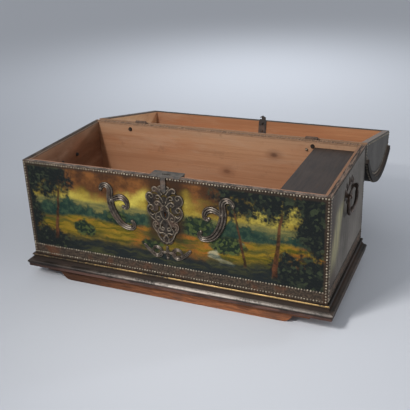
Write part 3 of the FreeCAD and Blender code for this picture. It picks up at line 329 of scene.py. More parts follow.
def painted_front():
    made, shader, at = new_finish("painted_front")
    x, _, z = at.axes()
    flat = stretched(at, (1, 0, 1))
    shove = flat.node("ShaderNodeTexNoise", None, {"Vector": flat, "Scale": 26.0, "Detail": 3.0}, out=1)
    shove = flat.node("ShaderNodeVectorMath", {"operation": "SCALE"}, {0: shove, 3: 0.03})
    loose = flat.node("ShaderNodeVectorMath", {"operation": "ADD"}, {0: flat, 1: shove})
    up = (z - strip_height) * (1 / paint_height)
    leafy = noise(flat, 34.0, 5.0, 0.7)
    lumpy = noise(flat, 11.0, 4.0, 0.6)
    broad = noise(flat, 3.6, 3.0, 0.5)
    fine = noise(at, 110.0, 4.0, 0.7)
    strokes = noise(stretched(loose, (1, 1, 7)), 9.0, 5.0, 0.65)
    sweeps = noise(stretched(loose, (1, 1, 4)), 3.4, 3.0, 0.5)
    dabs = cells(loose, 95.0)
    tints = cells(loose, 95.0, out=1).axes()[0]

    def laid(paint, value, low, high):
        """A paint in its darker and lighter tone."""
        return between(value, low, high, *paints[paint])

    def skyline(scale, height, swing, ragged):
        ground = noise(stretched(at, (1, 0, 0)), scale, 3.0, 0.55)
        return height + (ground - 0.5) * swing + (leafy - 0.5) * ragged

    def below(line, soft=0.03):
        return 1 - rise(up - line, -soft, soft)

    def clump(across, height, width, depth):
        """A leafy mass: an ellipse with its edge broken up."""
        du = (x - across) * (1 / width)
        dv = (up - height) * (1 / depth)
        inside = 1 - du * du - dv * dv
        return rise(inside + (leafy - 0.5) * 2.2 + (lumpy - 0.5) * 2.2 - dabs * 0.35, -0.3, 0.42)

    def trunk(foot, lean, thick, low, high):
        """A slanting stroke, thicker at the foot."""
        off = x - (up * lean + foot) + (lumpy - 0.5) * 0.02
        width = (1.25 - up) * thick
        across = 1 - rise(off.size() - width, -0.0025, 0.0025)
        return across * band(up, (low, low + 0.05), (high, high + 0.08))

    # sky, gold over the hills and umber at the top
    gold = laid("gold sky", sweeps * 0.7 + lumpy * 0.3, 0.42, 0.58)
    umber = laid("umber sky", lumpy, 0.4, 0.62)
    colour = between(up + (broad - 0.5) * 0.9 + (lumpy - 0.5) * 0.35, 0.68, 0.84, gold, umber)
    # hills and a far wood
    colour = blend(below(skyline(2.6, 0.64, 0.26, 0.06)), colour, laid("hill", strokes, 0.4, 0.6))
    colour = blend(below(skyline(6.0, 0.57, 0.5, 0.3)), colour, laid("far wood", leafy, 0.42, 0.66))
    # meadows, in long strokes
    meadow = laid("meadow", strokes, 0.36, 0.62)
    meadow = blend(rise(broad + (strokes - 0.5) * 0.5, 0.48, 0.6) * 0.85, meadow, meadow_rust)
    meadow = blend(rise(sweeps, 0.5, 0.62) * 0.75, meadow, meadow_shade)
    colour = blend(below(skyline(3.3, 0.43, 0.3, 0.1)), colour, meadow)
    # a stream, wider as it comes near
    meander = noise(stretched(at, (0, 0, 1)), 13.0, 2.0, 0.4)
    off = x - 0.2 - (meander - 0.5) * 0.5 + (strokes - 0.5) * 0.03
    water = (1 - rise(off.size() + up * 0.07, 0.03, 0.042)) * below(0.42 + (leafy - 0.5) * 0.06)
    colour = blend(water * 0.85, colour, laid("water", strokes, 0.42, 0.6))
    # shaded bank along the foot
    colour = blend(below(skyline(2.1, 0.2, 0.44, 0.12), 0.08), colour, laid("bank", strokes, 0.45, 0.7))
    # bushes, trees and trunks
    bushes = any_of(clump(-0.2, 0.48, 0.05, 0.1), clump(0.12, 0.52, 0.085, 0.13),
                    clump(-0.34, 0.3, 0.05, 0.1), clump(0.23, 0.36, 0.07, 0.12),
                    clump(-0.06, 0.24, 0.05, 0.09))
    colour = blend(bushes, colour, laid("bush", tints * 0.5 + leafy * 0.5, 0.44, 0.72))
    trees = any_of(clump(-0.52, 0.86, 0.15, 0.28), clump(-0.58, 0.4, 0.07, 0.5), clump(0.34, 0.92, 0.2, 0.28),
                   clump(0.55, 0.75, 0.1, 0.55), clump(0.53, 0.16, 0.17, 0.28), clump(-0.52, 0.06, 0.17, 0.2))
    colour = blend(trees, colour, laid("tree", tints * 0.55 + leafy * 0.5, 0.56, 0.84))
    trunks = any_of(trunk(-0.47, 0.05, 0.007, 0.1, 0.7), trunk(0.3, -0.06, 0.005, 0.12, 0.7),
                    trunk(0.39, 0.035, 0.0085, 0.05, 0.75))
    colour = blend(trunks * 0.9, colour, laid("bark", lumpy * 0.5 + leafy * 0.5, 0.44, 0.6))
    # brown strip along the foot, dark upper edge, rim
    strip = blend(rise(lumpy, 0.5, 0.66) * 0.5, laid("strip", fine, 0.4, 0.65), strip_rust)
    colour = blend(rise(strip_height - z, -0.002, 0.001), colour, strip)
    colour = blend(rise(z + (fine - 0.5) * 0.012, 0.45, 0.46) * 0.8, colour, upper_edge)
    rim = rise(z + (fine - 0.5) * 0.005, 0.4675, 0.4705)
    colour = blend(rim, colour, laid("worn rim", noise(at, 45.0, 4.0, 0.7), 0.42, 0.62))
    # side edges, the shade behind the lock plate, crazing and rubbed specks
    colour = blend(rise(x.size() + (fine - 0.5) * 0.01, 0.555, 0.564) * 0.75, colour, side_edge)
    behind_lock = (1 - rise(x.size() + (lumpy - 0.5) * 0.03, 0.05, 0.085)) * rise(z, 0.2, 0.26)
    colour = blend(behind_lock * 0.85, colour, lock_shade)
    craze = 1 - rise(cells(flat, 90.0, "DISTANCE_TO_EDGE"), 0.0, 0.06)
    colour = blend(craze * 0.22, colour, craze_line)
    speck = rise(noise(flat, 150.0, 3.0, 0.7), 0.68, 0.75) * rise(broad, 0.48, 0.6)
    colour = blend(speck * 0.6, colour, rubbed_speck)
    ridge = leafy * 0.4 + strokes * 0.5 + dabs * 0.3 + fine * 0.25
    feed(shader, 0.1, base_color=colour, roughness=0.4 + fine * 0.25,
         normal=bump(ridge - craze * 0.4, 0.0009))
    return made


dress(painted_front(), "front_leather")


# Plinth: pine moulding, ebonised and polished, with its bead gilded along the front; the torus is
# rubbed to a silvery grey along its crown, with a painted highlight there and on the fillet under the
# bead, the gilding is worn through in places, and painted shade darkens the cove and the left-hand end
fascia_top = (0.0525, 0.0545)
torus_crown, cove_hollow = ((0.058, 0.0635), (0.065, 0.0685)), ((0.068, 0.0695), (0.08, 0.083))
fillet_face, bead_face = ((0.081, 0.083), (0.0845, 0.0855)), ((0.0845, 0.0855), (0.0893, 0.09))
ebony_black, ebony_brown = (0.012, 0.009, 0.007, 1), (0.042, 0.025, 0.018, 1)
cove_shade, end_shade = (0.026, 0.016, 0.011, 1), (0.012, 0.008, 0.006, 1)
fascia_dark, fascia_brown = (0.05, 0.028, 0.022, 1), (0.13, 0.066, 0.05, 1)
crown_grey_and_highlight, fillet_highlight, bead_gold = (0.5, 0.44, 0.385, 1), (0.15, 0.105, 0.072, 1), (0.4, 0.26, 0.1, 1)


def moulding_finish(name, gilded):
    made, shader, at = new_finish(name)
    x, _, z = at.axes()
    wear = noise(stretched(at, (0.25, 0.25, 1)), 30.0, 5.0, 0.68)
    fine = noise(at, 150.0, 3.0, 0.6)
    patch = noise(at, 5.0, 2.0)
    colour = between(wear, 0.42, 0.66, ebony_black, ebony_brown)
    # the crown is rubbed grey and carries a painted highlight; along fades it out at the left-hand end and
    # towards the right
    along = (0.1 + rise(x, -0.38, 0.05) * 0.9) * (1 - rise(x, 0.12, 0.58) * 0.65)
    rubbed_and_highlight = band(z, *torus_crown) * rise(wear * 0.5 + fine * 0.3 + patch * 0.2, 0.4, 0.56) * along
    colour = blend(rubbed_and_highlight * (0.9 if gilded else 0.15), colour, crown_grey_and_highlight)
    cove = band(z, *cove_hollow)
    colour = blend(cove * 0.8, colour, cove_shade)
    lower = 1 - rise(z, *fascia_top)
    fascia = between(wear, 0.4, 0.6, fascia_dark, fascia_brown)
    colour = blend(lower * (0.9 if gilded else 0.2), colour, fascia)
    gilding = {}
    if gilded:
        # painted highlight: the fillet under the bead is lightened, fading out towards the left-hand end
        colour = blend(band(z, *fillet_face) * rise(x, -0.5, 0.1) * 0.7, colour, fillet_highlight)
        colour = blend((1 - rise(x, -0.6, -0.2)) * 0.6, colour, end_shade)
        kept_gilding_and_shade = band(z, *bead_face) * rise(wear * 0.35 + fine * 0.35 + patch * 0.3, 0.42, 0.56)
        # painted shade: the gilding fades out towards the left-hand end
        kept_gilding_and_shade = kept_gilding_and_shade * rise(x, -0.8, -0.3)
        colour = blend(kept_gilding_and_shade * 0.85, colour, bead_gold)
        gilding["metallic"] = kept_gilding_and_shade * 0.5
    feed(shader, 0.22 if gilded else 0.2, base_color=colour,
         roughness=(0.28 if gilded else 0.5) + wear * 0.25 + cove * 0.4,
         normal=bump(wear * 0.6 + fine * 0.4, 0.0005), **gilding)
    return made


dress(moulding_finish("gilded_moulding", True), "plinth_front_moulding")
dress(moulding_finish("dark_moulding", False), "plinth_left_moulding", "plinth_right_moulding")


# Runners and bearer: lengths of sawn softwood, unpainted, red-brown and rough, nailed up under the
# bottom, with a painted shade that darkens them towards the left-hand end
runner_red, runner_brown = (0.3, 0.112, 0.046, 1), (0.12, 0.048, 0.026, 1)
runner_blotch, runner_left_shade = (0.08, 0.045, 0.034, 1), (0.03, 0.016, 0.011, 1)


def runner_wood():
    made, shader, at = new_finish("runner_wood")
    x = at.axes()[0]
    grain = noise(stretched(at, (1.2, 14, 14)), 12.0, 5.0, 0.7)
    blotch = noise(at, 7.0, 4.0, 0.6)
    colour = between(grain, 0.36, 0.66, runner_red, runner_brown)
    colour = blend(rise(blotch, 0.5, 0.7) * 0.6, colour, runner_blotch)
    # painted shade: darker towards the left-hand end, where less light falls
    left_shade = 1 - rise(x + (blotch - 0.5) * 0.2, -0.45, 0.12)
    colour = blend(left_shade * 0.85, colour, runner_left_shade)
    feed(shader, 0.15, base_color=colour, roughness=0.7 + grain * 0.2, normal=bump(grain, 0.0016))
    return made


dress(runner_wood(), "front_runner", "rear_runner", "middle_bearer")


# Upholstery nails: round heads of pewter-coloured brass, driven close together in rows along the edges
# of every sheet of leather on the chest, with a second row above the plinth
nail_spacing, nail_head, nail_height, nail_stray = 0.0102, 0.0033, 0.0027, 0.0005
nail_inset, end_inset = 0.0055, 0.008
rim_row, strip_row, foot_row, back_foot_row = 0.4655, strip_height, 0.0985, 0.05
nail_bright, nail_dull, nail_shade_black = (0.4, 0.345, 0.255, 1), (0.15, 0.12, 0.09, 1), (0.04, 0.034, 0.03, 1)
quarter = math.pi / 2


def nail_metal():
    made, shader, at = new_finish("nail_metal")
    y = at.axes()[1]
    dull = noise(at, 90.0, 3.0)
    colour = between(dull, 0.4, 0.62, nail_bright, nail_dull)
    # painted shade: nails away from the front face and the ends' front columns are darkened towards black,
    # those on the open lid less
    dark = rise(y, -0.245, -0.23) * (0.9 - rise(y, 0.27, 0.28) * 0.4)
    colour = blend(dark, colour, nail_shade_black)
    feed(shader, base_color=colour, roughness=0.34 + dull * 0.25)
    shader.inputs["Metallic"].default_value = 0.5
    return made


def new_tree(name, inputs):
    """A Geometry Nodes tree with named inputs: a wire for each input, and its output socket."""
    tree = bpy.data.node_groups.new(name, "GeometryNodeTree")
    tree.interface.new_socket("Geometry", in_out="INPUT", socket_type="NodeSocketGeometry")
    for label, kind in inputs.items():
        tree.interface.new_socket(label, in_out="INPUT", socket_type="NodeSocket" + kind)
    tree.interface.new_socket("Geometry", in_out="OUTPUT", socket_type="NodeSocketGeometry")
    start = tree.nodes.new("NodeGroupInput")
    end = tree.nodes.new("NodeGroupOutput")
    return {socket.name: Wire(tree, socket) for socket in start.outputs if socket.name}, end.inputs[0]


def close_tree(made, metal, end):
    """Ends a tree in real faces of one metal."""
    made = made.node("GeometryNodeRealizeInstances", None, {0: made})
    made = made.node("GeometryNodeSetMaterial", None, {"Geometry": made, "Material": metal})
    made.tree.links.new(made.socket, end)
    return made.tree


def runs_mesh(name, runs, girths=None):
    """Lines through points, each run open, as a mesh of edges; girths are the bar's half-widths there."""
    points, edges = [], []
    for run in runs:
        edges += [(len(points) + i, len(points) + i + 1) for i in range(len(run) - 1)]
        points += [tuple(point) for point in run]
    mesh = bpy.data.meshes.new(name)
    mesh.from_pydata(points, edges, [])
    if girths:
        girth = mesh.attributes.new("girth", "FLOAT", "POINT")
        girth.data.foreach_set("value", [width for run in girths for width in run])
    return mesh


def grow(name, mesh, tree, inputs):
    """What a tree makes of a mesh, as a plain mesh object at the origin."""
    piece = bpy.data.objects.new(name, mesh)
    bpy.context.scene.collection.objects.link(piece)
    maker = piece.modifiers.new("maker", "NODES")
    maker.node_group = tree
    for item in tree.interface.items_tree:
        if item.in_out == "INPUT" and item.name in inputs:
            maker[item.identifier] = inputs[item.name]
    made = bpy.data.meshes.new_from_object(piece.evaluated_get(bpy.context.evaluated_depsgraph_get()))
    piece.modifiers.remove(maker)
    piece.data = made
    return piece


def nail_tree():
    start, end = new_tree("nail_rows", {
        "Spacing": "Float", "Head": "Float", "Height": "Float", "Facing": "Rotation", "Seed": "Int",
        "Metal": "Material"})
    line = start["Geometry"].node("GeometryNodeMeshToCurve", None, {"Mesh": start["Geometry"]})
    points = line.node("GeometryNodeCurveToPoints", {"mode": "LENGTH"}, {
        "Curve": line, "Length": start["Spacing"]})
    head = line.node("GeometryNodeMeshUVSphere", None, {"Segments": 8, "Rings": 5, "Radius": 1.0})
    head = head.node("GeometryNodeSetShadeSmooth", None, {0: head})
    jitter = line.node("FunctionNodeRandomValue", {"data_type": "FLOAT_VECTOR"}, {
        0: (-nail_stray,) * 3, 1: (nail_stray,) * 3, "Seed": start["Seed"]})
    points = points.node("GeometryNodeSetPosition", None, {"Geometry": points, "Offset": jitter})
    swell = line.node("FunctionNodeRandomValue", {"data_type": "FLOAT"}, {
        2: 0.9, 3: 1.1, "Seed": start["Seed"]}, out=1)
    wide = start["Head"] * swell
    scale = wide.node("ShaderNodeCombineXYZ", None, {0: wide, 1: wide, 2: start["Height"]})
    heads = points.node("GeometryNodeInstanceOnPoints", None, {
        "Points": points, "Instance": head, "Rotation": start["Facing"], "Scale": scale})
    return close_tree(heads, start["Metal"], end)


nails = nail_tree()
nail_finish = nail_metal()


def nail_rows(name, body, runs, facing, seed):
    piece = grow(name, runs_mesh(name, runs), nails, {
        "Spacing": nail_spacing, "Head": nail_head, "Height": nail_height, "Facing": facing, "Seed": seed,
        "Metal": nail_finish})
    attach(piece, body)


def face_rows(width, heights):
    """Rows along a face and columns up its ends, as points (across, up)."""
    rows = [[(-width, height), (width, height)] for height in heights]
    return rows + [[(side * width, heights[-1] + nail_spacing), (side * width, heights[0] - nail_spacing)]
                   for side in (-1, 1)]


front_rows = face_rows(half_x - nail_inset, (rim_row, strip_row, foot_row))
back_rows = face_rows(half_x - nail_inset, (rim_row, back_foot_row))
end_rows = face_rows(half_y - end_inset, (rim_row, strip_row, foot_row))
chest_nails = {
    "front_nails": (front_rows, lambda u, v: (u, -half_y, v), (quarter, 0, 0)),
    "back_nails": (back_rows, lambda u, v: (u, half_y, v), (-quarter, 0, 0)),
    "right_nails": (end_rows, lambda u, v: (half_x, u, v), (0, quarter, 0)),
    "left_nails": (end_rows, lambda u, v: (-half_x, u, v), (0, -quarter, 0)),
}
for seed, (name, (rows, place, facing)) in enumerate(chest_nails.items()):
    nail_rows(name, "chest", [[place(*point) for point in row] for row in rows], facing, seed)


# Ironwork of the lock and of the hinges on the chest: plates, case, bolt, straps and pins, forged flat
# and filed up bright once, now brown-black in the hollows and rubbed grey on the edges, the hinges rusted
rust_brown, hollow_black = (0.1, 0.052, 0.03, 1), (0.014, 0.01, 0.008, 1)


def forged_iron(name, deep, bright, rough=0.45, sheen=0.75):
    made, shader, at = new_finish(name)
    scale = noise(at, 48.0, 5.0, 0.68)
    fine = noise(at, 260.0, 3.0, 0.6)
    colour = between(scale * 0.65 + fine * 0.35, 0.38, 0.62, deep, bright)
    rust = rise(noise(at, 19.0, 4.0, 0.6), 0.5, 0.68)
    colour = blend(rust * 0.6, colour, rust_brown)
    hollow = at.node("ShaderNodeAttribute", {"attribute_name": "hollow"}, out=2)
    colour = blend(hollow * 0.85, colour, hollow_black)
    feed(shader, base_color=colour, roughness=rough + scale * 0.3,
         metallic=sheen - rust * 0.45 - hollow * 0.3, normal=bump(scale + fine * 0.4, 0.0007))
    return made


plate_iron = forged_iron("plate_iron", (0.022, 0.018, 0.015, 1), (0.06, 0.05, 0.042, 1))
black_iron = forged_iron("black_iron", (0.018, 0.016, 0.016, 1), (0.05, 0.044, 0.04, 1), 0.5, 0.4)
rim_iron = forged_iron("rim_iron", (0.04, 0.036, 0.032, 1), (0.12, 0.105, 0.09, 1), 0.5, 0.4)
rusted_iron = forged_iron("rusted_iron", (0.06, 0.035, 0.023, 1), (0.13, 0.08, 0.054, 1), 0.6, 0.3)
dress(plate_iron, "lock_plate")
dress(black_iron, "lock_case", "lock_bolt", "lock_spring", "lock_key_pin")
dress(rim_iron, "lock_rim_plate")
dress(rusted_iron, "left_chest_strap", "right_chest_strap", "left_hinge_pin", "right_hinge_pin")


# Scroll mounts: iron bars chased with three ridges, drawn out to a taper and curled, a bud on each end;
# one either side of the lock and a pair of arms under it, pinned flat to the painted front
chased_iron = forged_iron("chased_iron", (0.062, 0.048, 0.036, 1), (0.19, 0.16, 0.13, 1), 0.24, 0.85)
sides = (("left", -1), ("right", 1))


def bar_tree():
    start, end = new_tree("wrought_bars", {
        "Section": "Object", "Step": "Float", "Bud": "Float", "Bud Height": "Float", "Metal": "Material"})
    line = start["Geometry"].node("GeometryNodeMeshToCurve", None, {"Mesh": start["Geometry"]})
    line = line.node("GeometryNodeCurveSplineType", {"spline_type": "CATMULL_ROM"}, {"Curve": line})
    line = line.node("GeometryNodeResampleCurve", {"mode": "LENGTH"}, {
        "Curve": line, "Length": start["Step"]})
    line = line.node("GeometryNodeSetCurveNormal", {"mode": "Z_UP"}, {"Curve": line})
    girth = line.node("GeometryNodeInputNamedAttribute", {"data_type": "FLOAT"}, {"Name": "girth"})
    section = line.node("GeometryNodeObjectInfo", None, {"Object": start["Section"]}, out=4)
    section = section.node("GeometryNodeMeshToCurve", None, {"Mesh": section})
    bars = line.node("GeometryNodeCurveToMesh", None, {
        "Curve": line, "Profile Curve": section, "Scale": girth, "Fill Caps": True})
    ends = line.node("GeometryNodeCurveEndpointSelection", None, {"Start Size": 1, "End Size": 1})
    bud = line.node("GeometryNodeMeshUVSphere", None, {"Segments": 14, "Rings": 8, "Radius": 1.0})
    scale = line.node("ShaderNodeCombineXYZ", None, {
        0: start["Bud"], 1: start["Bud"], 2: start["Bud Height"]})
    buds = line.node("GeometryNodeInstanceOnPoints", None, {
        "Points": line, "Selection": ends, "Instance": bud, "Scale": scale})
    joined = line.node("GeometryNodeJoinGeometry", None, {0: [bars, buds]})
    joined = joined.node("GeometryNodeSetShadeSmooth", None, {0: joined})
    return close_tree(joined, start["Metal"], end)


def section_mesh(name, points):
    """A bar's closed outline, points (across, out, hollow), as edges on an object that is only read."""
    mesh = bpy.data.meshes.new(name)
    mesh.from_pydata([(u, -v, 0) for u, v, _ in points],
                     [(i, (i + 1) % len(points)) for i in range(len(points))], [])
    hollow = mesh.attributes.new("hollow", "FLOAT", "POINT")
    hollow.data.foreach_set("value", [deep for _, _, deep in points])
    return bpy.data.objects.new(name, mesh)


wrought_bars = bar_tree()
chased_half = [(0, 0.62, 0), (0.17, 0.55, 0), (0.3, 0.2, 1), (0.43, 0.17, 1), (0.55, 0.43, 0),
               (0.74, 0.46, 0), (0.9, 0.22, 0.5), (1, -0.02, 1)]
chased_other_half = [(-u, v, deep) for u, v, deep in chased_half[:0:-1]]
chased_section = section_mesh("chased_section", chased_other_half + chased_half)


def wrought(name, body, runs, girths, section, place, metal, bud=0.0, bud_height=0.0, step=0.003):
    piece = grow(name, runs_mesh(name, runs, girths), wrought_bars, {
        "Section": section, "Step": step, "Bud": bud, "Bud Height": bud_height, "Metal": metal})
    piece.data.transform(place)
    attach(piece, body)
    return piece


def curl(start, heading, bends, size=1.0, step=9.0):
    """Points from a start, along a heading in degrees, through bends of (radius, sweep). size is what the
    start and the radii are parts of."""
    point = Vector((start[0] * size, start[1] * size, 0))
    points = [point]
    for radius, sweep in bends:
        count = max(3, math.ceil(abs(sweep) / step))
        turn = math.radians(sweep) / count
        chord = 2 * (radius * size) * math.sin(abs(turn) / 2)
        for _ in range(count):
            middle = math.radians(heading) + turn / 2
            point = point + Vector((math.cos(middle), math.sin(middle), 0)) * chord
            points.append(point)
            heading += math.degrees(turn)
    return points


def taper(points, tip, belly, tail):
    """Half-widths along a run: tip at its start, belly in the middle, tail at its end."""
    gone = [0.0]
    for before, after in zip(points, points[1:]):
        gone.append(gone[-1] + (after - before).length)
    widths = []
    for length in gone:
        t = length / gone[-1]
        edge, share = (tip, t / 0.45) if t < 0.45 else (tail, (1 - t) / 0.55)
        widths.append(edge + (belly - edge) * math.sin(share * quarter))
    return widths


def on_front(x, z, lift=0.0):
    return Matrix.Translation((x, -half_y - lift, z)) @ Matrix.Rotation(quarter, 4, "X")


def mirrored(points):
    return [Vector((-p[0], p[1], 0)) for p in points]


mount_height, mount_x, mount_z = 0.155, 0.205, 0.3
mount_bud, mount_bud_height = 0.0075, 0.0065
mount_stem = curl((-0.297, 0.626), 90, ((0.123, -190), (0.884, 50), (0.368, 50), (0.09, 150)), mount_height)
mount_branch = curl((-0.039, 0.381), 40, ((0.516, -25), (0.168, -115), (0.058, -130)), mount_height)
mount_girths = [taper(mount_stem, 0.008, 0.0152, 0.0075), taper(mount_branch, 0.0095, 0.0125, 0.0062)]
for name, side in sides:
    runs = [mount_stem, mount_branch] if side < 0 else [mirrored(mount_stem), mirrored(mount_branch)]
    piece = wrought(f"{name}_chased_scroll", "chest", runs, mount_girths, chased_section,
                    on_front(side * mount_x, mount_z), chased_iron, mount_bud, mount_bud_height)
    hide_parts(f"{name}_scroll_mount")

arm_height, arm_z, arm_bud, arm_bud_height = 0.06, 0.162, 0.0055, 0.005
arm = curl((-1.47, 0.72), -50, ((2.5, 20), (0.28, 325)), arm_height)
drop = [Vector((0, v, 0)) for v in (0.002, 0.012, 0.024, 0.036, 0.046)]
cross_bar = [Vector((u, 0.4 * arm_height, 0)) for u in (-0.02, -0.01, 0.0, 0.01, 0.02)]
arm_girths = [taper(arm, 0.006, 0.0085, 0.004)] * 2 + [[0.003, 0.007, 0.0085, 0.006, 0.003], [0.005] * 5]
piece = wrought("lower_chased_scroll", "chest", [arm, mirrored(arm), drop, cross_bar], arm_girths,
                chased_section, on_front(0, arm_z), chased_iron, arm_bud, arm_bud_height)
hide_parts("lower_scroll_mount")


# Relief on the lock plate: thin half-round bars, bent to scrolls and leaves and riveted to the pierced
# plate, the same on both sides of the keyhole and its raised rim
half_round = [(math.cos(math.pi * i / 8), math.sin(math.pi * i / 8), float(i in (0, 8))) for i in range(9)]
wire_section = section_mesh("wire_section", half_round[::-1])
relief_iron = forged_iron("relief_iron", (0.08, 0.064, 0.047, 1), (0.26, 0.215, 0.16, 1), 0.36, 0.75)
plate_foot, plate_face, relief_bud = 0.2191, 0.0022, 0.003


def in_metres(runs):
    """Runs of points (across, up) in millimetres."""
    return [[Vector((u / 1000, v / 1000, 0)) for u, v in run] for run in runs]


relief = in_metres((
    ((2, 6), (16, 13), (27, 26), (34, 43), (45, 58), (49, 71), (44, 82), (34, 83), (30, 75), (37, 71)),
    ((37, 88), (50, 97), (62, 112), (67, 127), (61, 142), (49, 145), (42, 136), (48, 127), (56, 131)),
    ((55, 150), (66, 160), (69, 176), (61, 189), (48, 189), (42, 179), (49, 172), (56, 178)),
    ((8, 190), (17, 203), (31, 214), (42, 209), (41, 199), (33, 199)),
    ((9, 131), (20, 124), (33, 114), (37, 101), (29, 91), (20, 96), (23, 105), (30, 103)),
    ((7, 97), (15, 85), (21, 69), (17, 56), (8, 55), (7, 63), (13, 65)),
    ((8, 148), (17, 159), (30, 162), (37, 154), (31, 147), (25, 151)),
    ((5, 160), (11, 174), (22, 184), (31, 180), (29, 171), (22, 172)),
    ((0, 149), (12, 140), (16, 122), (11, 103), (0, 94)),
    ((0, 2), (8, 12), (9, 26), (0, 36), (-6, 28)),
    ((3, 40), (12, 44), (24, 42), (30, 52), (25, 60)),
    ((0, 195), (7, 207), (0, 221)),
    ((13, 206), (20, 216), (14, 219)),
    ((40, 112), (48, 108), (56, 113)),
    ((38, 62), (42, 70), (39, 77)),
))
relief_girths = [taper(run, 0.0016, 0.0028, 0.0014) for run in relief]
wrought("lock_relief", "chest", relief + [mirrored(run) for run in relief], relief_girths * 2, wire_section,
        on_front(0, plate_foot, plate_face), relief_iron, relief_bud, relief_bud, step=0.0025)


# Drop handles: round bars with a swelled grip, sprung into the eyes of each handle plate; a ridged rim
# follows the two arches of the plate behind them, and chased leaves stand out round it
handle_x, handle_z, rim_x, leaves_x = 0.5895, 0.394, 0.5771, 0.5748
round_section = section_mesh("round_section", [
    (math.cos(math.pi * i / 8), -math.sin(math.pi * i / 8), 0) for i in range(16)])
bail_turn, bail_bend, bail_bar, bail_arm, bail_grip = 0.009, 0.034, 0.0045, 0.0062, 0.0095
bail_tip, bail_shoulder, bail_reach, grip_half = 0.044, 0.0565, 0.0655, 0.024
bail_foot = 0.324 - handle_z
bail_half = [Vector((-bail_tip, 0, 0))] + curl((-bail_shoulder, 0), 180, [(bail_turn, 90)])
bail_half += [Vector((-bail_reach, v, 0)) for v in (-0.018, -0.027)]
bail_half += curl((-bail_reach, bail_foot + bail_bend), 270, [(bail_bend, 90)])
bail_half += [Vector((u, bail_foot, 0)) for u in (-grip_half, -0.016, -0.008, 0.0)]
bail_run = bail_half + mirrored(bail_half[-2::-1])


def bail_girth(point):
    """The bar's half-width at a point: swelled along the grip, stouter below the eyes."""
    if point.y < bail_foot + 0.001:
        return bail_grip - (bail_grip - bail_arm) * min(1, (abs(point.x) / grip_half) ** 2)
    return bail_arm if point.y < -0.02 else bail_bar


def on_end(side, x):
    return Matrix(((0, 0, side, side * x), (side, 0, 0, 0), (0, 1, 0, handle_z), (0, 0, 0, 1)))


bail_girths = [bail_girth(point) for point in bail_run]
arch = curl((-0.045, 0.0058), 36.3, [(0.076, -72.6)])
under_arch = [Vector((p.x, -p.y, 0)) for p in arch]
arch_girths, arch_bud, arch_bud_height = taper(arch, 0.003, 0.006, 0.003), 0.005, 0.0045
leaf_runs = in_metres((
    ((0, 16), (-1, 28), (2, 40), (-2, 50)), ((24, 14), (31, 25), (40, 33), (39, 43)),
    ((46, 4), (55, 9), (61, 18), (57, 27)), ((22, -14), (30, -22), (34, -31), (29, -38))))
leaf_runs += [mirrored(run) for run in leaf_runs[1:]]
leaf_girths = [taper(run, 0.004, 0.0075, 0.0016) for run in leaf_runs]
handle_iron = forged_iron("handle_iron", (0.025, 0.018, 0.014, 1), (0.085, 0.058, 0.045, 1), 0.36, 0.6)
for name, side in sides:
    bail = wrought(f"{name}_round_bail", f"{name}_bail", [bail_run], [bail_girths], round_section,
                   on_end(side, handle_x), handle_iron, step=0.0025)
    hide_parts(f"{name}_bail")
    wrought(f"{name}_handle_rim", "chest", [arch, under_arch], [arch_girths] * 2, chased_section,
            on_end(side, rim_x), handle_iron, arch_bud, arch_bud_height)
    wrought(f"{name}_handle_leaves", "chest", leaf_runs, leaf_girths, chased_section,
            on_end(side, leaves_x), handle_iron)
dress(handle_iron, "left_handle_plate", "right_handle_plate", "left_handle_eyes", "right_handle_eyes")


# Bolts: the chest straps are bolted through the back wall, with square nuts on round washers and a rivet
# inside and domed heads outside, and each handle eye is clinched over a washer inside the end wall
def bolt_tree():
    start, end = new_tree("bolts", {
        "Facing": "Rotation", "Washer": "Float", "Nut": "Float", "Dome": "Float", "Metal": "Material"})
    washer = start["Geometry"].node("GeometryNodeMeshCone", None, {
        "Vertices": 20, "Radius Top": 0.86, "Radius Bottom": 1.0, "Depth": 0.3})
    size = start["Nut"].node("ShaderNodeCombineXYZ", None, {0: start["Nut"], 1: start["Nut"], 2: 0.7})
    nut = washer.node("GeometryNodeMeshCube", None, {"Size": size})
    nut = nut.node("GeometryNodeTransform", None, {
        0: nut, "Translation": (0, 0, 0.5), "Rotation": (0, 0, 0.5)})
    dome = washer.node("GeometryNodeMeshUVSphere", None, {
        "Segments": 14, "Rings": 8, "Radius": start["Dome"]})
    dome = dome.node("GeometryNodeTransform", None, {0: dome, "Translation": (0, 0, 0.4)})
    bolt = washer.node("GeometryNodeJoinGeometry", None, {0: [washer, nut, dome]})
    spread = start["Washer"].node("ShaderNodeCombineXYZ", None, {
        0: start["Washer"], 1: start["Washer"], 2: start["Washer"]})
    placed = spread.node("GeometryNodeInstanceOnPoints", None, {
        "Points": start["Geometry"], "Instance": bolt, "Rotation": start["Facing"], "Scale": spread})
    return close_tree(placed, start["Metal"], end)


bolts = bolt_tree()


def bolt_set(name, body, points, facing, washer, nut, dome, metal):
    """Bolts at points; washer is the washer's radius, and the nut's width and the dome's radius are in parts
    of it."""
    piece = grow(name, runs_mesh(name, [[point] for point in points]), bolts, {
        "Facing": facing, "Washer": washer, "Nut": nut, "Dome": dome, "Metal": metal})
    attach(piece, body)


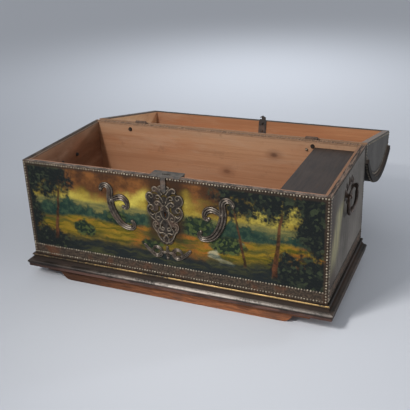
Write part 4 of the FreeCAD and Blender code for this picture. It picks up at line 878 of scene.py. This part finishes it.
inner_y, strap_x, strap_y = 0.239, 0.3667, 0.266
inner_end_x, eye_y, eye_z = 0.551, 0.052, handle_z - 0.006
nut_places = [(-0.4, inner_y, 0.4515), (0.3805, inner_y, 0.4535)]
strap_places = [(side * strap_x + dx, strap_y, z) for side in (-1, 1)
                for dx, z in ((-0.013, 0.445), (0.013, 0.445), (0.0, 0.405), (0.0, 0.362))]
bolt_set("hinge_nuts", "chest", nut_places, (quarter, 0, 0), 0.0085, 1.2, 0.5, plate_iron)
bolt_set("hinge_rivet", "chest", [(0.358, inner_y, 0.4385)], (quarter, 0, 0), 0.006, 0.4, 0.8, relief_iron)
bolt_set("strap_bolts", "chest", strap_places, (-quarter, 0, 0), 0.006, 0.4, 0.8, black_iron)
for name, side in sides:
    eyes = [(side * inner_end_x, y, eye_z) for y in (-eye_y, eye_y)]
    bolt_set(f"{name}_eye_clinches", "chest", eyes, (0, -side * quarter, 0), 0.008, 1.0, 0.55, black_iron)


# Lid: rails, arched ends and barrel staves of the same pine, left bare inside and stained where the
# staves run past the ends, the ends lighter with painted light; rusted hinge straps, and a hasp riveted
# inside the front rail
lid_stain, right_stain = (0.095, 0.072, 0.058, 1), (0.19, 0.15, 0.125, 1)
lid_pine = pine("lid_pine", (0.3, 1.5, 1.5), light=(0.44, 0.215, 0.102, 1), dark=(0.31, 0.135, 0.06, 1),
                lid_edge=lid_stain)
# painted light: the lid's ends take lighter tones than the rails and staves, for the light on their inner
# faces
lid_end_painted_light_tones = {"turn": math.radians(-12), "light": (0.7, 0.48, 0.29, 1), "dark": (0.56, 0.35, 0.19, 1)}
dress(lid_pine, "lid_front_rail", *(f"lid_stave_{n}" for n in range(1, 8)))
dress(pine("lid_back_pine", (0.3, 1.5, 1.5)), "lid_back_rail")
dress(pine("lid_left_pine", (1, 0.4, 1.6), lid_edge=lid_stain, **lid_end_painted_light_tones), "lid_left_end")
dress(pine("lid_right_pine", (1, 0.4, 1.6), lid_edge=right_stain, **lid_end_painted_light_tones), "lid_right_end")
dress(black_iron, "lid_hasp")
dress(rusted_iron, "left_lid_strap", "right_lid_strap")


def lid_facing(turn):
    return tuple((lid_turn @ Euler(turn).to_matrix().to_4x4()).to_euler())


hasp_y = -0.235
hasp_rivets = [opened @ Vector((0, hasp_y, z)) for z in (0.488, 0.522)]
bolt_set("hasp_rivets", "lid", hasp_rivets, lid_facing((-quarter, 0, 0)), 0.0055, 0.4, 0.8, plate_iron)


# Nails on the lid: rows along the rails, up the arched ends and along the edges of the dome's leather,
# of the same heads and spacing as those on the chest
lid_low, lid_high = 0.4805, 0.5445
dome_reach, dome_edge, dome_side, arch_inset = 0.38455, math.radians(42), 0.579, 0.033


def arc_points(reach, x, count=24):
    """Points over the dome at a distance from its axis, from the front edge to the back."""
    angles = [-dome_edge + 2 * dome_edge * i / count for i in range(count + 1)]
    return [(x, reach * math.sin(a), dome_axis + reach * math.cos(a)) for a in angles]


def rail_rows(y):
    return [[(-half_x + nail_inset, y, z), (half_x - nail_inset, y, z)] for z in (lid_low, lid_high)]


def lid_end_rows(x):
    edge = half_y - nail_inset
    columns = [[(x, side * edge, lid_low), (x, side * edge, lid_high)] for side in (-1, 1)]
    return columns + [[(x, -edge + nail_spacing, lid_low), (x, edge - nail_spacing, lid_low)],
                      arc_points(dome_reach - arch_inset, x)]


dome_arc = arc_points(dome_reach, 0)
dome_rows = [arc_points(dome_reach, side * dome_side) for side in (-1, 1)]
dome_rows += [[(-half_x, y, z), (half_x, y, z)] for _, y, z in (dome_arc[0], dome_arc[-1])]
lid_nails = {
    "lid_front_nails": (rail_rows(-half_y), (quarter, 0, 0)),
    "lid_back_nails": (rail_rows(half_y), (-quarter, 0, 0)),
    "lid_left_nails": (lid_end_rows(-half_x), (0, -quarter, 0)),
    "lid_right_nails": (lid_end_rows(half_x), (0, quarter, 0)),
    "lid_dome_nails": (dome_rows, (0, 0, 0)),
}
for seed, (name, (rows, facing)) in enumerate(lid_nails.items(), start=10):
    open_rows = [[opened @ Vector(point) for point in row] for row in rows]
    nail_rows(name, "lid", open_rows, lid_facing(facing), seed)


# Studio: a pale grey-blue floor that runs on behind, a small lamp in front on the left with a broader one
# beside it, a low one behind on the right, and one over the floor behind; the camera has the photo's view
floor_reach, photo_width, focal_length = 40, 410, 710.7
floor_finish, floor_shader, _ = new_finish("pale_floor")
floor_shader.inputs["Base Color"].default_value = (0.492, 0.511, 0.548, 1)
floor_shader.inputs["Roughness"].default_value = 0.85
floor_mesh = bpy.data.meshes.new("floor")
corners = ((-1, -1), (1, -1), (1, 1), (-1, 1))
floor_mesh.from_pydata([(floor_reach * u, floor_reach * v, 0) for u, v in corners], [], [(0, 1, 2, 3)])
floor_mesh.materials.append(floor_finish)
floor = bpy.data.objects.new("floor", floor_mesh)
bpy.context.scene.collection.objects.link(floor)

room = bpy.data.worlds.new("studio")
room.use_nodes = True
room.node_tree.nodes["Background"].inputs["Color"].default_value = (0.92, 0.95, 1, 1)
room.node_tree.nodes["Background"].inputs["Strength"].default_value = 0.58
bpy.context.scene.world = room


def lamp(name, place, aim, width, power, tint, spread=180):
    light = bpy.data.lights.new(name, "AREA")
    light.shape = "DISK"
    light.size = width
    light.energy = power
    light.spread = math.radians(spread)
    light.color = tint
    holder = bpy.data.objects.new(name, light)
    holder.location = place
    holder.rotation_euler = (Vector(aim) - Vector(place)).to_track_quat("-Z", "Y").to_euler()
    bpy.context.scene.collection.objects.link(holder)


lamp("front", (-1.05, -3.5, 3.13), (-0.3, 0.55, 0.35), 0.3, 4.6, (1, 0.98, 0.95), 36)
lamp("left", (-1.5, -3.1, 3.8), (0.6, -0.5, 0), 1, 8.5, (1, 0.98, 0.96), 35)
lamp("window", (3.2, 1.9, 0.95), (-0.3, 0.1, 0.35), 0.3, 32, (0.95, 0.97, 1))
lamp("rear", (-0.9, 3.3, 2.6), (-0.9, 3.0, 0), 2, 19, (0.93, 0.96, 1), 100)

camera = bpy.data.cameras.new("camera")
camera.sensor_width = 36
camera.lens = camera.sensor_width * focal_length / photo_width
camera_place = (1.0341, -2.2462, 1.3408)
yaw, pitch, roll = (math.radians(angle) for angle in (-24.008, -23.649, -2.331))
ahead = Vector((math.sin(yaw) * math.cos(pitch), math.cos(yaw) * math.cos(pitch), math.sin(pitch)))
level = ahead.cross(Vector((0, 0, 1))).normalized()
above = level.cross(ahead)
right = level * math.cos(roll) + above * math.sin(roll)
upward = above * math.cos(roll) - level * math.sin(roll)
stand = bpy.data.objects.new("camera", camera)
stand.matrix_world = Matrix.Translation(camera_place) @ Matrix((right, upward, -ahead)).transposed().to_4x4()
bpy.context.scene.collection.objects.link(stand)
bpy.context.scene.camera = stand
bpy.context.scene.view_settings.view_transform = "Standard"
